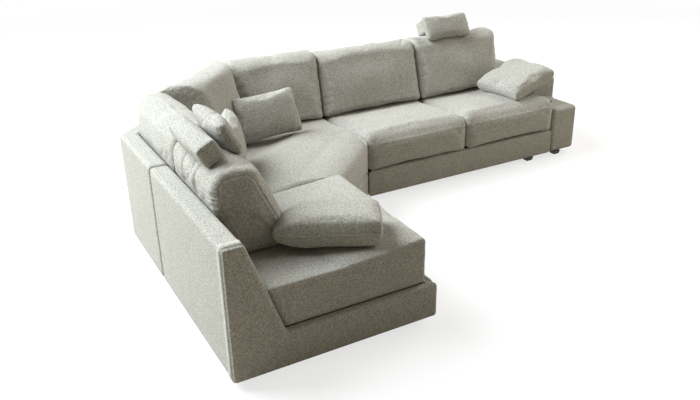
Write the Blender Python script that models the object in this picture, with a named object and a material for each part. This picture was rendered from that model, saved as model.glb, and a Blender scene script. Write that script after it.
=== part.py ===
"""Upholstered corner sofa: two wings joined by a chamfered corner, loose cushions on timber bases.

Plan axes: x runs along the long wing from the outer left face, y is zero at the long wing's outer back
and falls towards the room, z is up. The parent empty carries that plan frame, so the finished part has
its origin in the middle of its footprint, on the floor.
"""
import math

import bmesh
import bpy
import numpy as np
from mathutils import Matrix, Vector
from mathutils.bvhtree import BVHTree

for old in list(bpy.data.objects):
    bpy.data.objects.remove(old, do_unlink=True)

# Plan sizes of the modules, in metres
MODULE_DEPTH = 1.04
CORNER_LENGTH = 1.47
SEAT_WIDTH = 0.79
LEFT_SEAT_LENGTH = 0.905
END_PANEL = 0.035
ARM_WIDTH = 0.228
CORNER_CHAMFER = 0.79
BACK_SPLIT = 1.38

# Heights above the floor
FLOOR_GAP = 0.03
PLINTH_TOP = 0.21
SEAT_HEIGHT = 0.445
SEAT_REAR_HEIGHT = 0.42
FRAME_HEIGHT = 0.67
BACK_HEIGHT = 0.82
CONSOLE_HEIGHT = 0.362
ARM_HEIGHT = 0.525

# Back frame: thin at the top, raked on the seat side
FRAME_TOP = 0.097
FRAME_FOOT = 0.258

# Clearances
SEAT_GAP = 0.0003
JOINT_GAP = 0.0006
CUSHION_GAP = 0.004

WING_WIDTH = CORNER_LENGTH + 2 * SEAT_WIDTH
TOTAL_WIDTH = WING_WIDTH + ARM_WIDTH
TOTAL_LENGTH = CORNER_LENGTH + LEFT_SEAT_LENGTH + END_PANEL
RAKE = (FRAME_FOOT - FRAME_TOP) / (FRAME_HEIGHT - PLINTH_TOP)
ROOT2 = math.sqrt(2.0)

sofa = bpy.data.objects.new("sofa_plan", None)
sofa.location = (-TOTAL_WIDTH / 2, TOTAL_LENGTH / 2, 0.0)
bpy.context.scene.collection.objects.link(sofa)


def finish(name, colour, roughness, metallic=0.0):
    """One Principled material."""
    material = bpy.data.materials.new(name)
    material.use_nodes = True
    shader = material.node_tree.nodes["Principled BSDF"]
    shader.inputs["Base Color"].default_value = (*colour, 1.0)
    shader.inputs["Roughness"].default_value = roughness
    shader.inputs["Metallic"].default_value = metallic
    return material


TWEED = finish("tweed_fabric", (0.36, 0.35, 0.31), 0.95)
TIMBER = finish("pine_timber", (0.62, 0.47, 0.30), 0.7)
WEBBING = finish("elastic_webbing", (0.12, 0.12, 0.12), 0.9)
BLACK = finish("black_plastic", (0.015, 0.015, 0.016), 0.45)
STEEL = finish("zinc_steel", (0.6, 0.6, 0.6), 0.35, 1.0)


def new_piece(name, mesh, material, location=(0.0, 0.0, 0.0), rotation=(0.0, 0.0, 0.0)):
    """Put a mesh in the plan frame as one named piece."""
    piece = bpy.data.objects.new(name, mesh)
    bpy.context.scene.collection.objects.link(piece)
    piece.parent = sofa
    piece.location = location
    piece.rotation_euler = rotation
    mesh.materials.append(material)
    return piece


def close_mesh(name, bm):
    """Turn the faces outwards and hand the mesh over."""
    bmesh.ops.recalc_face_normals(bm, faces=bm.faces)
    mesh = bpy.data.meshes.new(name)
    bm.to_mesh(mesh)
    bm.free()
    return mesh


def soften(piece, width, segments=2, least_turn=30.0):
    """Round every edge of a piece that turns by more than some degrees."""
    bevel = piece.modifiers.new("edge_round", "BEVEL")
    bevel.width = width
    bevel.segments = segments
    bevel.limit_method = "ANGLE"
    bevel.angle_limit = math.radians(least_turn)
    return piece


def prism(name, outline, thickness, material, location=(0.0, 0.0, 0.0), rotation=(0.0, 0.0, 0.0)):
    """Extrude a flat outline along its local z."""
    bm = bmesh.new()
    face = bm.faces.new([bm.verts.new((x, y, 0.0)) for x, y in outline])
    grown = bmesh.ops.extrude_face_region(bm, geom=[face])
    top = [item for item in grown["geom"] if isinstance(item, bmesh.types.BMVert)]
    bmesh.ops.translate(bm, verts=top, vec=(0.0, 0.0, thickness))
    return new_piece(name, close_mesh(name, bm), material, location, rotation)


def line_meeting(point_a, along_a, point_b, along_b):
    """Where two plan lines cross."""
    cross = along_a.x * along_b.y - along_a.y * along_b.x
    offset = point_b - point_a
    return point_a + along_a * ((offset.x * along_b.y - offset.y * along_b.x) / cross)


def inset_outline(outline, insets):
    """Move each side of a counter-clockwise outline inwards by its own inset."""
    count = len(outline)
    lines = []
    for index in range(count):
        start = Vector(outline[index])
        along = (Vector(outline[(index + 1) % count]) - start).normalized()
        lines.append((start + Vector((-along.y, along.x)) * insets[index], along))
    return [line_meeting(*lines[index - 1], *lines[index]) for index in range(count)]


# Feet: short black blocks that taper towards the floor
FOOT_TOP = 0.062
FOOT_TAPER_SHARE = 0.78
FOOT_CORNER = 0.003
FOOT_SHOW = 0.004
FOOT_FROM_END = 0.19
FOOT_SET_BACK = 0.15
ARM_FOOT_IN = 0.075


def foot(name, x, y, turn=0.0):
    """A tapered square foot under the base."""
    height = FLOOR_GAP - SEAT_GAP
    half = FOOT_TOP / 2
    outline = [(-half, -half), (half, -half), (half, half), (-half, half)]
    piece = prism(name, outline, height, BLACK, (x, y, 0.0), (0.0, 0.0, math.radians(turn)))
    for vertex in piece.data.vertices:
        if vertex.co.z < height / 2:
            vertex.co.x *= FOOT_TAPER_SHARE
            vertex.co.y *= FOOT_TAPER_SHARE
    return soften(piece, FOOT_CORNER, 1)


# Bases: mitred boards on edge, with a webbed deck let in behind the front board
BOARD = 0.045
BOARD_ROUND = 0.014
DECK = 0.014
DECK_ROUND = 0.002
INNER_TOP = PLINTH_TOP - DECK - SEAT_GAP


def board_ring(names, outline, fronts):
    """Boards along the sides of an outline; the front ones rise past the deck's edge."""
    inner = inset_outline(outline, [BOARD] * len(outline))
    for index, name in enumerate(names):
        after = (index + 1) % len(outline)
        start, end = Vector(outline[index]), Vector(outline[after])
        mitre = (end - start).normalized() * (JOINT_GAP / 2)
        corners = [start + mitre, end - mitre, inner[after] - mitre, inner[index] + mitre]
        top = PLINTH_TOP if name in fronts else INNER_TOP
        material = TWEED if name in fronts else TIMBER
        piece = prism(name, corners, top - FLOOR_GAP, material, (0.0, 0.0, FLOOR_GAP))
        soften(piece, BOARD_ROUND if name in fronts else DECK_ROUND, 2 if name in fronts else 1)


def deck(name, outline, insets):
    """The webbed seat support, resting on the inner boards."""
    let_in = inset_outline(outline, insets)
    piece = prism(name, let_in, DECK, WEBBING, (0.0, 0.0, INNER_TOP + SEAT_GAP))
    return soften(piece, DECK_ROUND, 1)


def rectangle(left, right, front, back):
    """Counter-clockwise plan corners, from front left."""
    return [(left, front), (right, front), (right, back), (left, back)]


FOOT_LINE = FRAME_FOOT + SEAT_GAP
HOOK_LINE = CORNER_CHAMFER + FOOT_LINE * (ROOT2 - 1.0)
HALF_JOINT = JOINT_GAP / 2

right_base = rectangle(CORNER_LENGTH + HALF_JOINT, WING_WIDTH - HALF_JOINT, -MODULE_DEPTH, -FOOT_LINE)
board_ring(["right_front_board", "right_arm_board", "right_rear_board", "right_joint_board"],
           right_base, ["right_front_board"])
middle = CORNER_LENGTH + SEAT_WIDTH
prism("right_middle_board",
      rectangle(middle - BOARD / 2, middle + BOARD / 2, -MODULE_DEPTH + BOARD + SEAT_GAP,
                -FOOT_LINE - BOARD - SEAT_GAP),
      INNER_TOP - FLOOR_GAP, TIMBER, (0.0, 0.0, FLOOR_GAP))
for number in range(2):
    seat_left = CORNER_LENGTH + number * SEAT_WIDTH
    bay = rectangle(seat_left + HALF_JOINT, seat_left + SEAT_WIDTH - HALF_JOINT, -MODULE_DEPTH, -FOOT_LINE)
    deck(f"right_deck_{number + 1}", bay, [BOARD + SEAT_GAP, 0.0, 0.0, 0.0])

left_front = -TOTAL_LENGTH + END_PANEL + SEAT_GAP
left_back = -CORNER_LENGTH - HALF_JOINT
left_base = rectangle(FOOT_LINE, MODULE_DEPTH, left_front, left_back)
board_ring(["left_end_board", "left_front_board", "left_joint_board", "left_rear_board"],
           left_base, ["left_front_board"])
deck("left_deck", left_base, [0.0, BOARD + SEAT_GAP, 0.0, 0.0])

corner_edge = -CORNER_LENGTH + HALF_JOINT
corner_base = [(FOOT_LINE, corner_edge), (MODULE_DEPTH, corner_edge), (-corner_edge, -MODULE_DEPTH),
               (-corner_edge, -FOOT_LINE), (HOOK_LINE, -FOOT_LINE), (FOOT_LINE, -HOOK_LINE)]
board_ring(["corner_left_board", "corner_front_board", "corner_right_board", "corner_back_board_right",
            "corner_back_board_middle", "corner_back_board_left"], corner_base, ["corner_front_board"])
deck("corner_deck", corner_base, [0.0, BOARD + SEAT_GAP, 0.0, 0.0, 0.0, 0.0])

# Joining plates screwed under the boards where two modules meet
PLATE_LENGTH = 0.12
PLATE_WIDTH = 0.07
PLATE_THICK = 0.004
PLATE_INSET = 0.35


def joining_plate(name, x, y, turned):
    """A flat steel plate with clipped corners, across the joint of two modules."""
    along, across, clip = PLATE_WIDTH / 2, PLATE_LENGTH / 2, PLATE_THICK * 2
    outline = [(-across + clip, -along), (across - clip, -along), (across, -along + clip),
               (across, along - clip), (across - clip, along), (-across + clip, along),
               (-across, along - clip), (-across, -along + clip)]
    turn = math.radians(90) if turned else 0.0
    height = FLOOR_GAP - SEAT_GAP - PLATE_THICK
    return prism(name, outline, PLATE_THICK, STEEL, (x, y, height), (0.0, 0.0, turn))


joining_plate("joining_plate_right", CORNER_LENGTH, -MODULE_DEPTH + PLATE_INSET, False)
joining_plate("joining_plate_left", MODULE_DEPTH - PLATE_INSET, -CORNER_LENGTH, True)

# Back frames: one profile run along the outer line of each module
FRAME_ROUND = 0.022
FRAME_BEND = 50.0


def back_frame(name, path):
    """Sweep the raked profile along a plan path, with mitred corners."""
    profile = [(0.0, FLOOR_GAP), (FRAME_FOOT, FLOOR_GAP), (FRAME_FOOT, PLINTH_TOP),
               (FRAME_TOP, FRAME_HEIGHT), (0.0, FRAME_HEIGHT)]
    points = [Vector(point) for point in path]
    bm = bmesh.new()
    rings = []
    for index, point in enumerate(points):
        before = (point - points[index - 1]).normalized() if index else None
        after = (points[index + 1] - point).normalized() if index + 1 < len(points) else None
        along = ((before or after) + (after or before)).normalized()
        stretch = 1.0 / along.dot(after or before)
        inwards = Vector((along.y, -along.x)) * stretch
        rings.append([bm.verts.new((*(point + inwards * depth), height)) for depth, height in profile])
    for first, second in zip(rings, rings[1:]):
        for index in range(len(profile)):
            after = (index + 1) % len(profile)
            bm.faces.new((first[index], second[index], second[after], first[after]))
    bm.faces.new(rings[0])
    bm.faces.new(list(reversed(rings[-1])))
    return soften(new_piece(name, close_mesh(name, bm), TWEED), FRAME_ROUND, 3, FRAME_BEND)


back_frame("left_back", [(0.0, left_front), (0.0, -BACK_SPLIT - HALF_JOINT)])
back_frame("corner_back", [(0.0, -BACK_SPLIT + HALF_JOINT), (0.0, -CORNER_CHAMFER),
                           (CORNER_CHAMFER, 0.0), (CORNER_LENGTH - HALF_JOINT, 0.0)])
back_frame("right_back", [(CORNER_LENGTH + HALF_JOINT, 0.0), (WING_WIDTH - HALF_JOINT, 0.0)])

# End panel: the upholstered side that closes the short wing, low at the seat and high at the back
PANEL_ROUND = 0.016
end_outline = [(0.0, FLOOR_GAP), (MODULE_DEPTH, FLOOR_GAP), (MODULE_DEPTH, PLINTH_TOP),
               (FRAME_FOOT, PLINTH_TOP), (FRAME_TOP, FRAME_HEIGHT), (0.0, FRAME_HEIGHT)]
panel = prism("end_panel", end_outline, END_PANEL, TWEED, (0.0, END_PANEL - TOTAL_LENGTH, 0.0),
              (math.radians(90), 0.0, 0.0))
soften(panel, PANEL_ROUND, 2)

# Arm: a high block behind a low console, with a round charging point let into the console
CONSOLE_RUN = 0.247
ARM_BLOCK = MODULE_DEPTH - CONSOLE_RUN
ARM_ROUND = 0.026
CHARGER_RADIUS = 0.02
CHARGER_DEPTH = 0.03
CHARGER_RIM = 0.003
CHARGER_BACK = 0.075
CHARGER_FLOOR = 0.004
CHARGER_SIDES = 24
CUT_OVERRUN = 0.01

arm_outline = [(0.0, FLOOR_GAP), (MODULE_DEPTH, FLOOR_GAP), (MODULE_DEPTH, CONSOLE_HEIGHT),
               (ARM_BLOCK, CONSOLE_HEIGHT), (ARM_BLOCK, ARM_HEIGHT), (0.0, ARM_HEIGHT)]
arm = prism("right_arm", arm_outline, ARM_WIDTH - HALF_JOINT, TWEED, (TOTAL_WIDTH, 0.0, 0.0),
            (math.radians(90), 0.0, math.radians(-90)))
soften(arm, ARM_ROUND, 3)
charger_place = (TOTAL_WIDTH - ARM_WIDTH / 2, -ARM_BLOCK - CHARGER_BACK)


def turned(name, profile, material, location, sides=CHARGER_SIDES):
    """Turn an (radius, height) profile, top to bottom on its outer side, about the vertical."""
    bm = bmesh.new()
    rings = []
    for radius, height in profile:
        ring = []
        for step in range(sides):
            angle = 2 * math.pi * step / sides
            ring.append(bm.verts.new((radius * math.cos(angle), radius * math.sin(angle), height)))
        rings.append(ring)
    for first, second in zip(rings, rings[1:] + rings[:1]):
        for step in range(sides):
            after = (step + 1) % sides
            bm.faces.new((first[step], first[after], second[after], second[step]))
    return new_piece(name, close_mesh(name, bm), material, location)


def disc(name, radius, thickness, material, location, sides=CHARGER_SIDES):
    """A flat round plate."""
    outline = []
    for step in range(sides):
        angle = 2 * math.pi * step / sides
        outline.append((radius * math.cos(angle), radius * math.sin(angle)))
    return prism(name, outline, thickness, material, location)


pocket_floor = CONSOLE_HEIGHT - CHARGER_DEPTH
cutter = disc("charger_pocket", CHARGER_RADIUS + SEAT_GAP, CHARGER_DEPTH + CUT_OVERRUN, BLACK,
              (*charger_place, pocket_floor))
cutter.hide_render = True
cutter.display_type = "WIRE"
cut = arm.modifiers.new("charger_pocket", "BOOLEAN")
cut.object = cutter
cut.operation = "DIFFERENCE"
shell_top = CHARGER_DEPTH + CHARGER_RIM
shell = [(CHARGER_RADIUS - CHARGER_RIM, shell_top), (CHARGER_RADIUS, shell_top - CHARGER_RIM / 2),
         (CHARGER_RADIUS, SEAT_GAP), (CHARGER_RADIUS - CHARGER_RIM, SEAT_GAP)]
turned("charger_shell", shell, BLACK, (*charger_place, pocket_floor))
disc("charger_socket", CHARGER_RADIUS - CHARGER_RIM - SEAT_GAP, CHARGER_DEPTH - CHARGER_FLOOR, BLACK,
     (*charger_place, pocket_floor + SEAT_GAP))

# Feet, named by the module that they carry; at the long wing's first joint one is set well back
front_line = -MODULE_DEPTH + FOOT_SHOW + FOOT_TOP / 2
rear_line = -FOOT_LINE - BOARD / 2
near_line = left_front + FOOT_FROM_END
far_line = -CORNER_LENGTH - FOOT_FROM_END
diagonal = (MODULE_DEPTH + CORNER_LENGTH) / 2 - BOARD / 2 / ROOT2
foot("foot_right_front_1", CORNER_LENGTH + HALF_JOINT + FOOT_TOP / 2, -MODULE_DEPTH + FOOT_SET_BACK)
foot("foot_right_front_2", WING_WIDTH - FOOT_FROM_END, front_line)
foot("foot_right_rear_1", CORNER_LENGTH + FOOT_FROM_END, rear_line)
foot("foot_right_rear_2", WING_WIDTH - FOOT_FROM_END, rear_line)
foot("foot_arm_front", WING_WIDTH + ARM_FOOT_IN, front_line)
foot("foot_arm_rear", WING_WIDTH + ARM_WIDTH / 2, rear_line)
foot("foot_left_front_1", -front_line, near_line)
foot("foot_left_front_2", -front_line, far_line)
foot("foot_left_rear_1", -rear_line, near_line)
foot("foot_left_rear_2", -rear_line, far_line)
foot("foot_corner_front", diagonal, -diagonal, 45.0)
foot("foot_corner_left", -rear_line, -CORNER_LENGTH + FOOT_FROM_END)
foot("foot_corner_right", CORNER_LENGTH - FOOT_FROM_END, rear_line)

# Cushions: closed soft forms whose sides carry a swell and whose ends are rounded and drawn in
END_SHARES = (-1.0, -0.975, -0.9, -0.65, 0.0, 0.65, 0.9, 0.975, 1.0)
CAP_SHARES = (0.55,)
LEAST_CORNER_SHARE = 0.25
ARC_STEPS = 3


def rounded_section(corners, swells, side_points):
    """Closed outline, counter-clockwise: straight sides with a swell each, joined by arcs."""
    count = len(corners)
    points, normals, swell = [], [], []
    for index in range(count):
        here = Vector(corners[index][:2])
        before = Vector(corners[index - 1][:2])
        after = Vector(corners[(index + 1) % count][:2])
        radius = corners[index][2]
        arriving, leaving = (here - before).normalized(), (after - here).normalized()
        turn = arriving.angle(leaving)
        reach = radius * math.tan(turn / 2)
        first = Vector((arriving.y, -arriving.x))
        centre = here - arriving * reach - first * radius
        start = math.atan2(first.y, first.x)
        steps = ARC_STEPS if radius else 0
        for step in range(steps + 1):
            angle = start + turn * step / max(steps, 1)
            normal = Vector((math.cos(angle), math.sin(angle)))
            points.append(centre + normal * radius)
            normals.append(normal)
            swell.append(0.0)
        beyond = (Vector(corners[(index + 2) % count][:2]) - after).normalized()
        next_reach = corners[(index + 1) % count][2] * math.tan(leaving.angle(beyond) / 2)
        side_start = here + leaving * reach
        side_end = after - leaving * next_reach
        outward = Vector((leaving.y, -leaving.x))
        for step in range(1, side_points[index] + 1):
            share = step / (side_points[index] + 1)
            points.append(side_start.lerp(side_end, share))
            normals.append(outward)
            swell.append(swells[index] * math.sin(math.pi * share))
    return np.array(points) + np.array(normals) * np.array(swell)[:, None]


def shrunk(corners, insets):
    """Move the sides of a rounded outline inwards; its corners tighten as it shrinks."""
    moved = inset_outline([corner[:2] for corner in corners], insets)
    tightened = []
    for index, (corner, place) in enumerate(zip(corners, moved)):
        loss = min(insets[index], insets[index - 1])
        least = LEAST_CORNER_SHARE * corner[2]
        tightened.append((*place, max(corner[2] - loss, least)))
    return tightened


def cushion(name, section, ends, edge, draw, location, turn, taper=0.0):
    """Loft a section across a width; ends are (place, lean per height, mitre per depth) planes.

    The local y axis points away from the room, so a depth is a negative y. A taper carries what lies
    past the crease further out towards the second end.
    """
    corners, swells, side_points = section
    base = min(corner[1] for corner in corners)
    rows = []
    half = (ends[1][0] - ends[0][0]) / 2
    for share in END_SHARES:
        outside = max(0.0, abs(share) - (1.0 - edge / half)) * half / edge
        inset = edge * (1.0 - math.sqrt(max(0.0, 1.0 - outside ** 2)))
        bulge = [swell * (1.0 - share ** 2) for swell in swells]
        further = taper * (1.0 + share) / 2
        spread = [(x + further if x > CREASE else x, z, radius) for x, z, radius in corners]
        moved = rounded_section(shrunk(spread, [inset] * len(spread)), bulge, side_points)
        planes = [place + lean * (moved[:, 1] - base) + mitre * moved[:, 0] for place, lean, mitre in ends]
        across = planes[0] * (1 - share) / 2 + planes[1] * (1 + share) / 2
        rows.append(np.column_stack([across, -moved[:, 0], moved[:, 1]]))
    caps = []
    for row, inwards in ((rows[0], 1.0), (rows[-1], -1.0)):
        centre = row.mean(axis=0)
        cap_rows = []
        for share in CAP_SHARES:
            ring = centre + (row - centre) * share
            ring[:, 0] += inwards * draw * (1.0 - share)
            cap_rows.append(ring)
        centre = centre + np.array([inwards * draw, 0.0, 0.0])
        caps.append((cap_rows, centre))
    rings = list(reversed(caps[0][0])) + rows + caps[1][0]
    vertices = [tuple(caps[0][1])] + [tuple(v) for ring in rings for v in ring] + [tuple(caps[1][1])]
    faces = stacked_faces(len(rings), len(rows[0]))
    return soft_piece(name, vertices, faces, TWEED, location, turn)


def stacked_faces(ring_count, size):
    """Faces of a stack of equal rings between a first and a last point."""
    faces = []
    for ring in range(ring_count - 1):
        for step in range(size):
            after = (step + 1) % size
            low, high = 1 + ring * size, 1 + (ring + 1) * size
            faces.append((low + step, low + after, high + after, high + step))
    last = 1 + ring_count * size
    for step in range(size):
        after = (step + 1) % size
        faces.append((0, 1 + after, 1 + step))
        faces.append((last, last - size + step, last - size + after))
    return faces


def soft_piece(name, vertices, faces, material, location, turn=0.0):
    """Build a smooth closed mesh from points and faces."""
    mesh = bpy.data.meshes.new(name)
    mesh.from_pydata(vertices, [], faces)
    bm = bmesh.new()
    bm.from_mesh(mesh)
    if bm.calc_volume(signed=True) < 0.0:
        bmesh.ops.reverse_faces(bm, faces=bm.faces)
    bm.to_mesh(mesh)
    bm.free()
    mesh.shade_smooth()
    return new_piece(name, mesh, material, location, (0.0, 0.0, math.radians(turn)))


# Seat cushions: pressed flat under the backs, crowned in front, with a soft front edge
SEAT_BASE = PLINTH_TOP + SEAT_GAP
CREASE = 0.52
SEAT_CROWN = 0.024
SEAT_NOSE = 0.075
SEAT_FRONT_SWELL = 0.006
SEAT_CORNER = 0.01
SEAT_EDGE = 0.04
SEAT_DRAW = 0.012
BLOCK_FRONT = 0.05
BLOCK_TAPER = 0.045
BLOCK_SIDE = 0.034
BLOCK_NOSE = 0.022
BLOCK_EDGE = 0.02
BLOCK_CROWN = 0.008
SEAT_LIFT = 0.006


def seat_section(front, nose, crown, front_swell, rear_height):
    """Profile of a seat cushion from the raked back frame to its front."""
    rear = FRAME_FOOT + CUSHION_GAP
    rear_top = FRAME_TOP + CUSHION_GAP + RAKE * (FRAME_HEIGHT - rear_height)
    corners = [(rear_top, rear_height, SEAT_CORNER), (rear, SEAT_BASE, SEAT_CORNER),
               (front, SEAT_BASE, SEAT_CORNER), (front, SEAT_HEIGHT + SEAT_LIFT, nose),
               (CREASE, rear_height, 0.0)]
    return corners, [0.0, 0.0, front_swell, crown, 0.0], [0, 1, 2, 3, 1]


long_seat = seat_section(MODULE_DEPTH, SEAT_NOSE, SEAT_CROWN, SEAT_FRONT_SWELL, SEAT_REAR_HEIGHT)
for number in range(2):
    place = CORNER_LENGTH + number * SEAT_WIDTH
    ends = ((CUSHION_GAP / 2, 0.0, 0.0), (SEAT_WIDTH - CUSHION_GAP / 2, 0.0, 0.0))
    cushion(f"seat_{number + 1}", long_seat, ends, SEAT_EDGE, SEAT_DRAW, (place, 0.0, 0.0), 0.0)
block_front = MODULE_DEPTH - BLOCK_FRONT
block_seat = seat_section(block_front, BLOCK_NOSE, BLOCK_CROWN, SEAT_FRONT_SWELL,
                          SEAT_REAR_HEIGHT)
block_ends = ((-TOTAL_LENGTH + BLOCK_SIDE, 0.0, 0.0), (-CORNER_LENGTH - CUSHION_GAP / 2, 0.0, 0.0))
cushion("left_seat", block_seat, block_ends, BLOCK_EDGE, SEAT_DRAW / 2, (0.0, 0.0, 0.0), 90.0,
        BLOCK_TAPER)

# Corner seat: a six-sided pad, soft only along its diagonal front
PAD_RING_SHARE = 0.82
PAD_SHARES = (1.0, 0.75, 0.45, 0.2)
PAD_START = 0.07
PAD_RUN = 0.22
PAD_NOSE = 0.095
PLAN_CORNER = 0.03
PAD_FRONT = 1
PAD_POINTS = (4, 4, 4, 3, 3, 3)


def corner_depths(x, y):
    """Distances of plan points from the three back lines."""
    return np.array([-y, x, (x - y - CORNER_CHAMFER) / ROOT2])


def crown_rise(x, y):
    """How much of the crown is reached at plan points: none under the backs, all of it further out."""
    rise = np.clip((corner_depths(x, y).min(axis=0) - CREASE - PAD_START) / PAD_RUN, 0.0, 1.0)
    return rise * rise * (3.0 - 2.0 * rise)


def level_ring(corners, insets, swells, heights):
    """One plan outline; each side has its own height, and the corners pass from one to the next."""
    flat = rounded_section(shrunk(corners, insets), swells, PAD_POINTS)
    levels = []
    for index, count in enumerate(PAD_POINTS):
        before = heights[index - 1]
        for step in range(ARC_STEPS + 1):
            levels.append(before + (heights[index] - before) * step / ARC_STEPS)
        levels += [heights[index]] * count
    return np.column_stack([flat, levels])


def corner_seat():
    """Stack rounded plan outlines, then close the top over a crown that starts past the backs."""
    gap = CUSHION_GAP / 2
    rear = FRAME_FOOT + CUSHION_GAP
    hook = CORNER_CHAMFER + rear * (ROOT2 - 1.0)
    edge = CORNER_LENGTH - gap
    outline = [(rear, -edge), (MODULE_DEPTH, -edge), (edge, -MODULE_DEPTH), (edge, -rear),
               (hook, -rear), (rear, -hook)]
    corners = [(x, y, PLAN_CORNER) for x, y in outline]
    noses = [PAD_NOSE if side == PAD_FRONT else SEAT_EDGE for side in range(len(corners))]
    swells = [SEAT_FRONT_SWELL if side == PAD_FRONT else 0.0 for side in range(len(corners))]
    still = [0.0] * len(corners)
    low_inset = [SEAT_CORNER] * len(corners)
    rings = [level_ring(corners, low_inset, still, [SEAT_BASE] * len(corners)),
             level_ring(corners, still, swells, [SEAT_BASE + SEAT_CORNER] * len(corners))]
    for step in range(ARC_STEPS + 1):
        angle = math.pi / 2 * step / ARC_STEPS
        insets = [nose * (1.0 - math.cos(angle)) for nose in noses]
        heights = [SEAT_HEIGHT - nose * (1.0 - math.sin(angle)) for nose in noses]
        rings.append(level_ring(corners, insets, still if step else swells, heights))
    centre = np.mean(outline, axis=0)
    rim = rings[-1].copy()
    start = CREASE + PAD_START
    middle_depths = corner_depths(*centre)[:, None]
    fall = np.maximum(middle_depths - corner_depths(rim[:, 0], rim[:, 1]), SEAT_GAP)
    flat_share = np.minimum(((middle_depths - start) / fall).min(axis=0), PAD_RING_SHARE)
    for share in PAD_SHARES:
        ring = rim.copy()
        ring[:, :2] = centre + (rim[:, :2] - centre) * (flat_share * share)[:, None]
        rise = crown_rise(ring[:, 0], ring[:, 1])
        inner = 1.0 - share ** 4
        ring[:, 2] = SEAT_HEIGHT + SEAT_CROWN * inner * rise
        rings.append(ring)
    pressed = (SEAT_HEIGHT - SEAT_REAR_HEIGHT) / (SEAT_HEIGHT - SEAT_BASE)
    for ring in rings:
        kept = 1.0 - pressed * (1.0 - crown_rise(ring[:, 0], ring[:, 1]))
        ring[:, 2] = SEAT_BASE + (ring[:, 2] - SEAT_BASE) * kept
    vertices = [(*centre, SEAT_BASE)] + [tuple(v) for ring in rings for v in ring]
    vertices.append((*centre, rings[-1][:, 2].mean()))
    faces = stacked_faces(len(rings), len(rim))
    return soft_piece("corner_seat", vertices, faces, TWEED, (0.0, 0.0, 0.0))


corner_seat()

# Back cushions: wedges that stand on the seats and lean on the raked frames
BACK_FOOT_FRONT = 0.49
BACK_TOP_FRONT = 0.298
BACK_TOP_CORNER = 0.085
BACK_REAR_CORNER = 0.08
BACK_LOW_CORNER = 0.016
BACK_FRONT_SWELL = 0.026
BACK_TOP_SWELL = 0.02
BACK_EDGE = 0.036
BACK_DRAW = 0.012
BACK_LEAN = 0.12
ARM_LEAN = 0.18
CORNER_LEAN = 0.30
NEAR_BACK_RISE = 0.02
FAR_BACK_RISE = 0.05
FAR_BACK_SLOPE = 0.042
CORNER_BACK_RISE = 0.045


def back_section(seat_height, height, front_swell, slope=0.0):
    """Profile of a back cushion: foot on the seat, rear along the frame, all but upright above it."""
    rear_top = FRAME_TOP + CUSHION_GAP
    base = seat_height + SEAT_GAP
    rear_foot = rear_top + RAKE * (FRAME_HEIGHT - base)
    corners = [(rear_top + slope, height, BACK_REAR_CORNER),
               (rear_top, FRAME_HEIGHT, 0.0),
               (rear_foot, base, BACK_LOW_CORNER),
               (BACK_FOOT_FRONT, base, BACK_LOW_CORNER),
               (BACK_TOP_FRONT, height, BACK_TOP_CORNER)]
    return corners, [0.0, 0.0, 0.0, front_swell, BACK_TOP_SWELL], [1, 1, 1, 4, 1]


BACK_CORNER_RIGHT = 0.845
BACK_CORNER_LEFT = 0.88
MITRE_SHARE = 0.8
MITRE_PIVOT = 0.35
FIRST_JOINT = 1.452
SECOND_JOINT = 2.262
BACK_ARM_IN = 0.05
LEFT_BACK_END = 2.05
back_gap = CUSHION_GAP / 2
plain_back = back_section(SEAT_REAR_HEIGHT, BACK_HEIGHT, BACK_FRONT_SWELL)
raised_back = back_section(SEAT_REAR_HEIGHT, BACK_HEIGHT + NEAR_BACK_RISE, BACK_FRONT_SWELL)
long_backs = [("back_a", raised_back, BACK_CORNER_RIGHT, 0.0, FIRST_JOINT, BACK_LEAN),
              ("back_b", plain_back, FIRST_JOINT, BACK_LEAN, SECOND_JOINT, BACK_LEAN),
              ("back_c", plain_back, SECOND_JOINT, BACK_LEAN, WING_WIDTH - BACK_ARM_IN, ARM_LEAN)]
for name, section, left, left_lean, right, right_lean in long_backs:
    ends = ((left + back_gap, left_lean, 0.0), (right - back_gap, right_lean, 0.0))
    cushion(name, section, ends, BACK_EDGE, BACK_DRAW, (0.0, 0.0, 0.0), 0.0)
corner_section = back_section(SEAT_REAR_HEIGHT, BACK_HEIGHT + CORNER_BACK_RISE, BACK_FRONT_SWELL / 2)
mitre_back = MITRE_PIVOT * (1.0 - MITRE_SHARE)
mitres = [(end - back_gap - CORNER_CHAMFER / 2) * ROOT2 - mitre_back
          for end in (BACK_CORNER_LEFT, BACK_CORNER_RIGHT)]
corner_ends = ((-mitres[0], CORNER_LEAN * ROOT2, MITRE_SHARE), (mitres[1], 0.0, -MITRE_SHARE))
cushion("back_corner", corner_section, corner_ends, BACK_EDGE, BACK_DRAW,
        (CORNER_CHAMFER / 2, -CORNER_CHAMFER / 2, 0.0), 45.0)
near_ends = ((-LEFT_BACK_END, 0.0, 0.0), (-CORNER_LENGTH - back_gap, 0.0, 0.0))
cushion("back_left_near", raised_back, near_ends, BACK_EDGE, BACK_DRAW, (0.0, 0.0, 0.0), 90.0)
far_back = back_section(SEAT_REAR_HEIGHT, BACK_HEIGHT + FAR_BACK_RISE, BACK_FRONT_SWELL, FAR_BACK_SLOPE)
far_ends = ((-CORNER_LENGTH + back_gap, 0.0, 0.0), (-BACK_CORNER_LEFT - back_gap, CORNER_LEAN, 0.0))
cushion("back_left_far", far_back, far_ends, BACK_EDGE, BACK_DRAW, (0.0, 0.0, 0.0), 90.0)

# Loose pillows: two crowned panels sewn edge to edge, whose edges draw in between the corners
PILLOW_CELLS = 8
CROWN_POWER = 2.4
CROWN_FALL = 0.55
EDGE_SAMPLES = 6
SETTLE_GAP = 2 * SEAT_GAP


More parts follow.
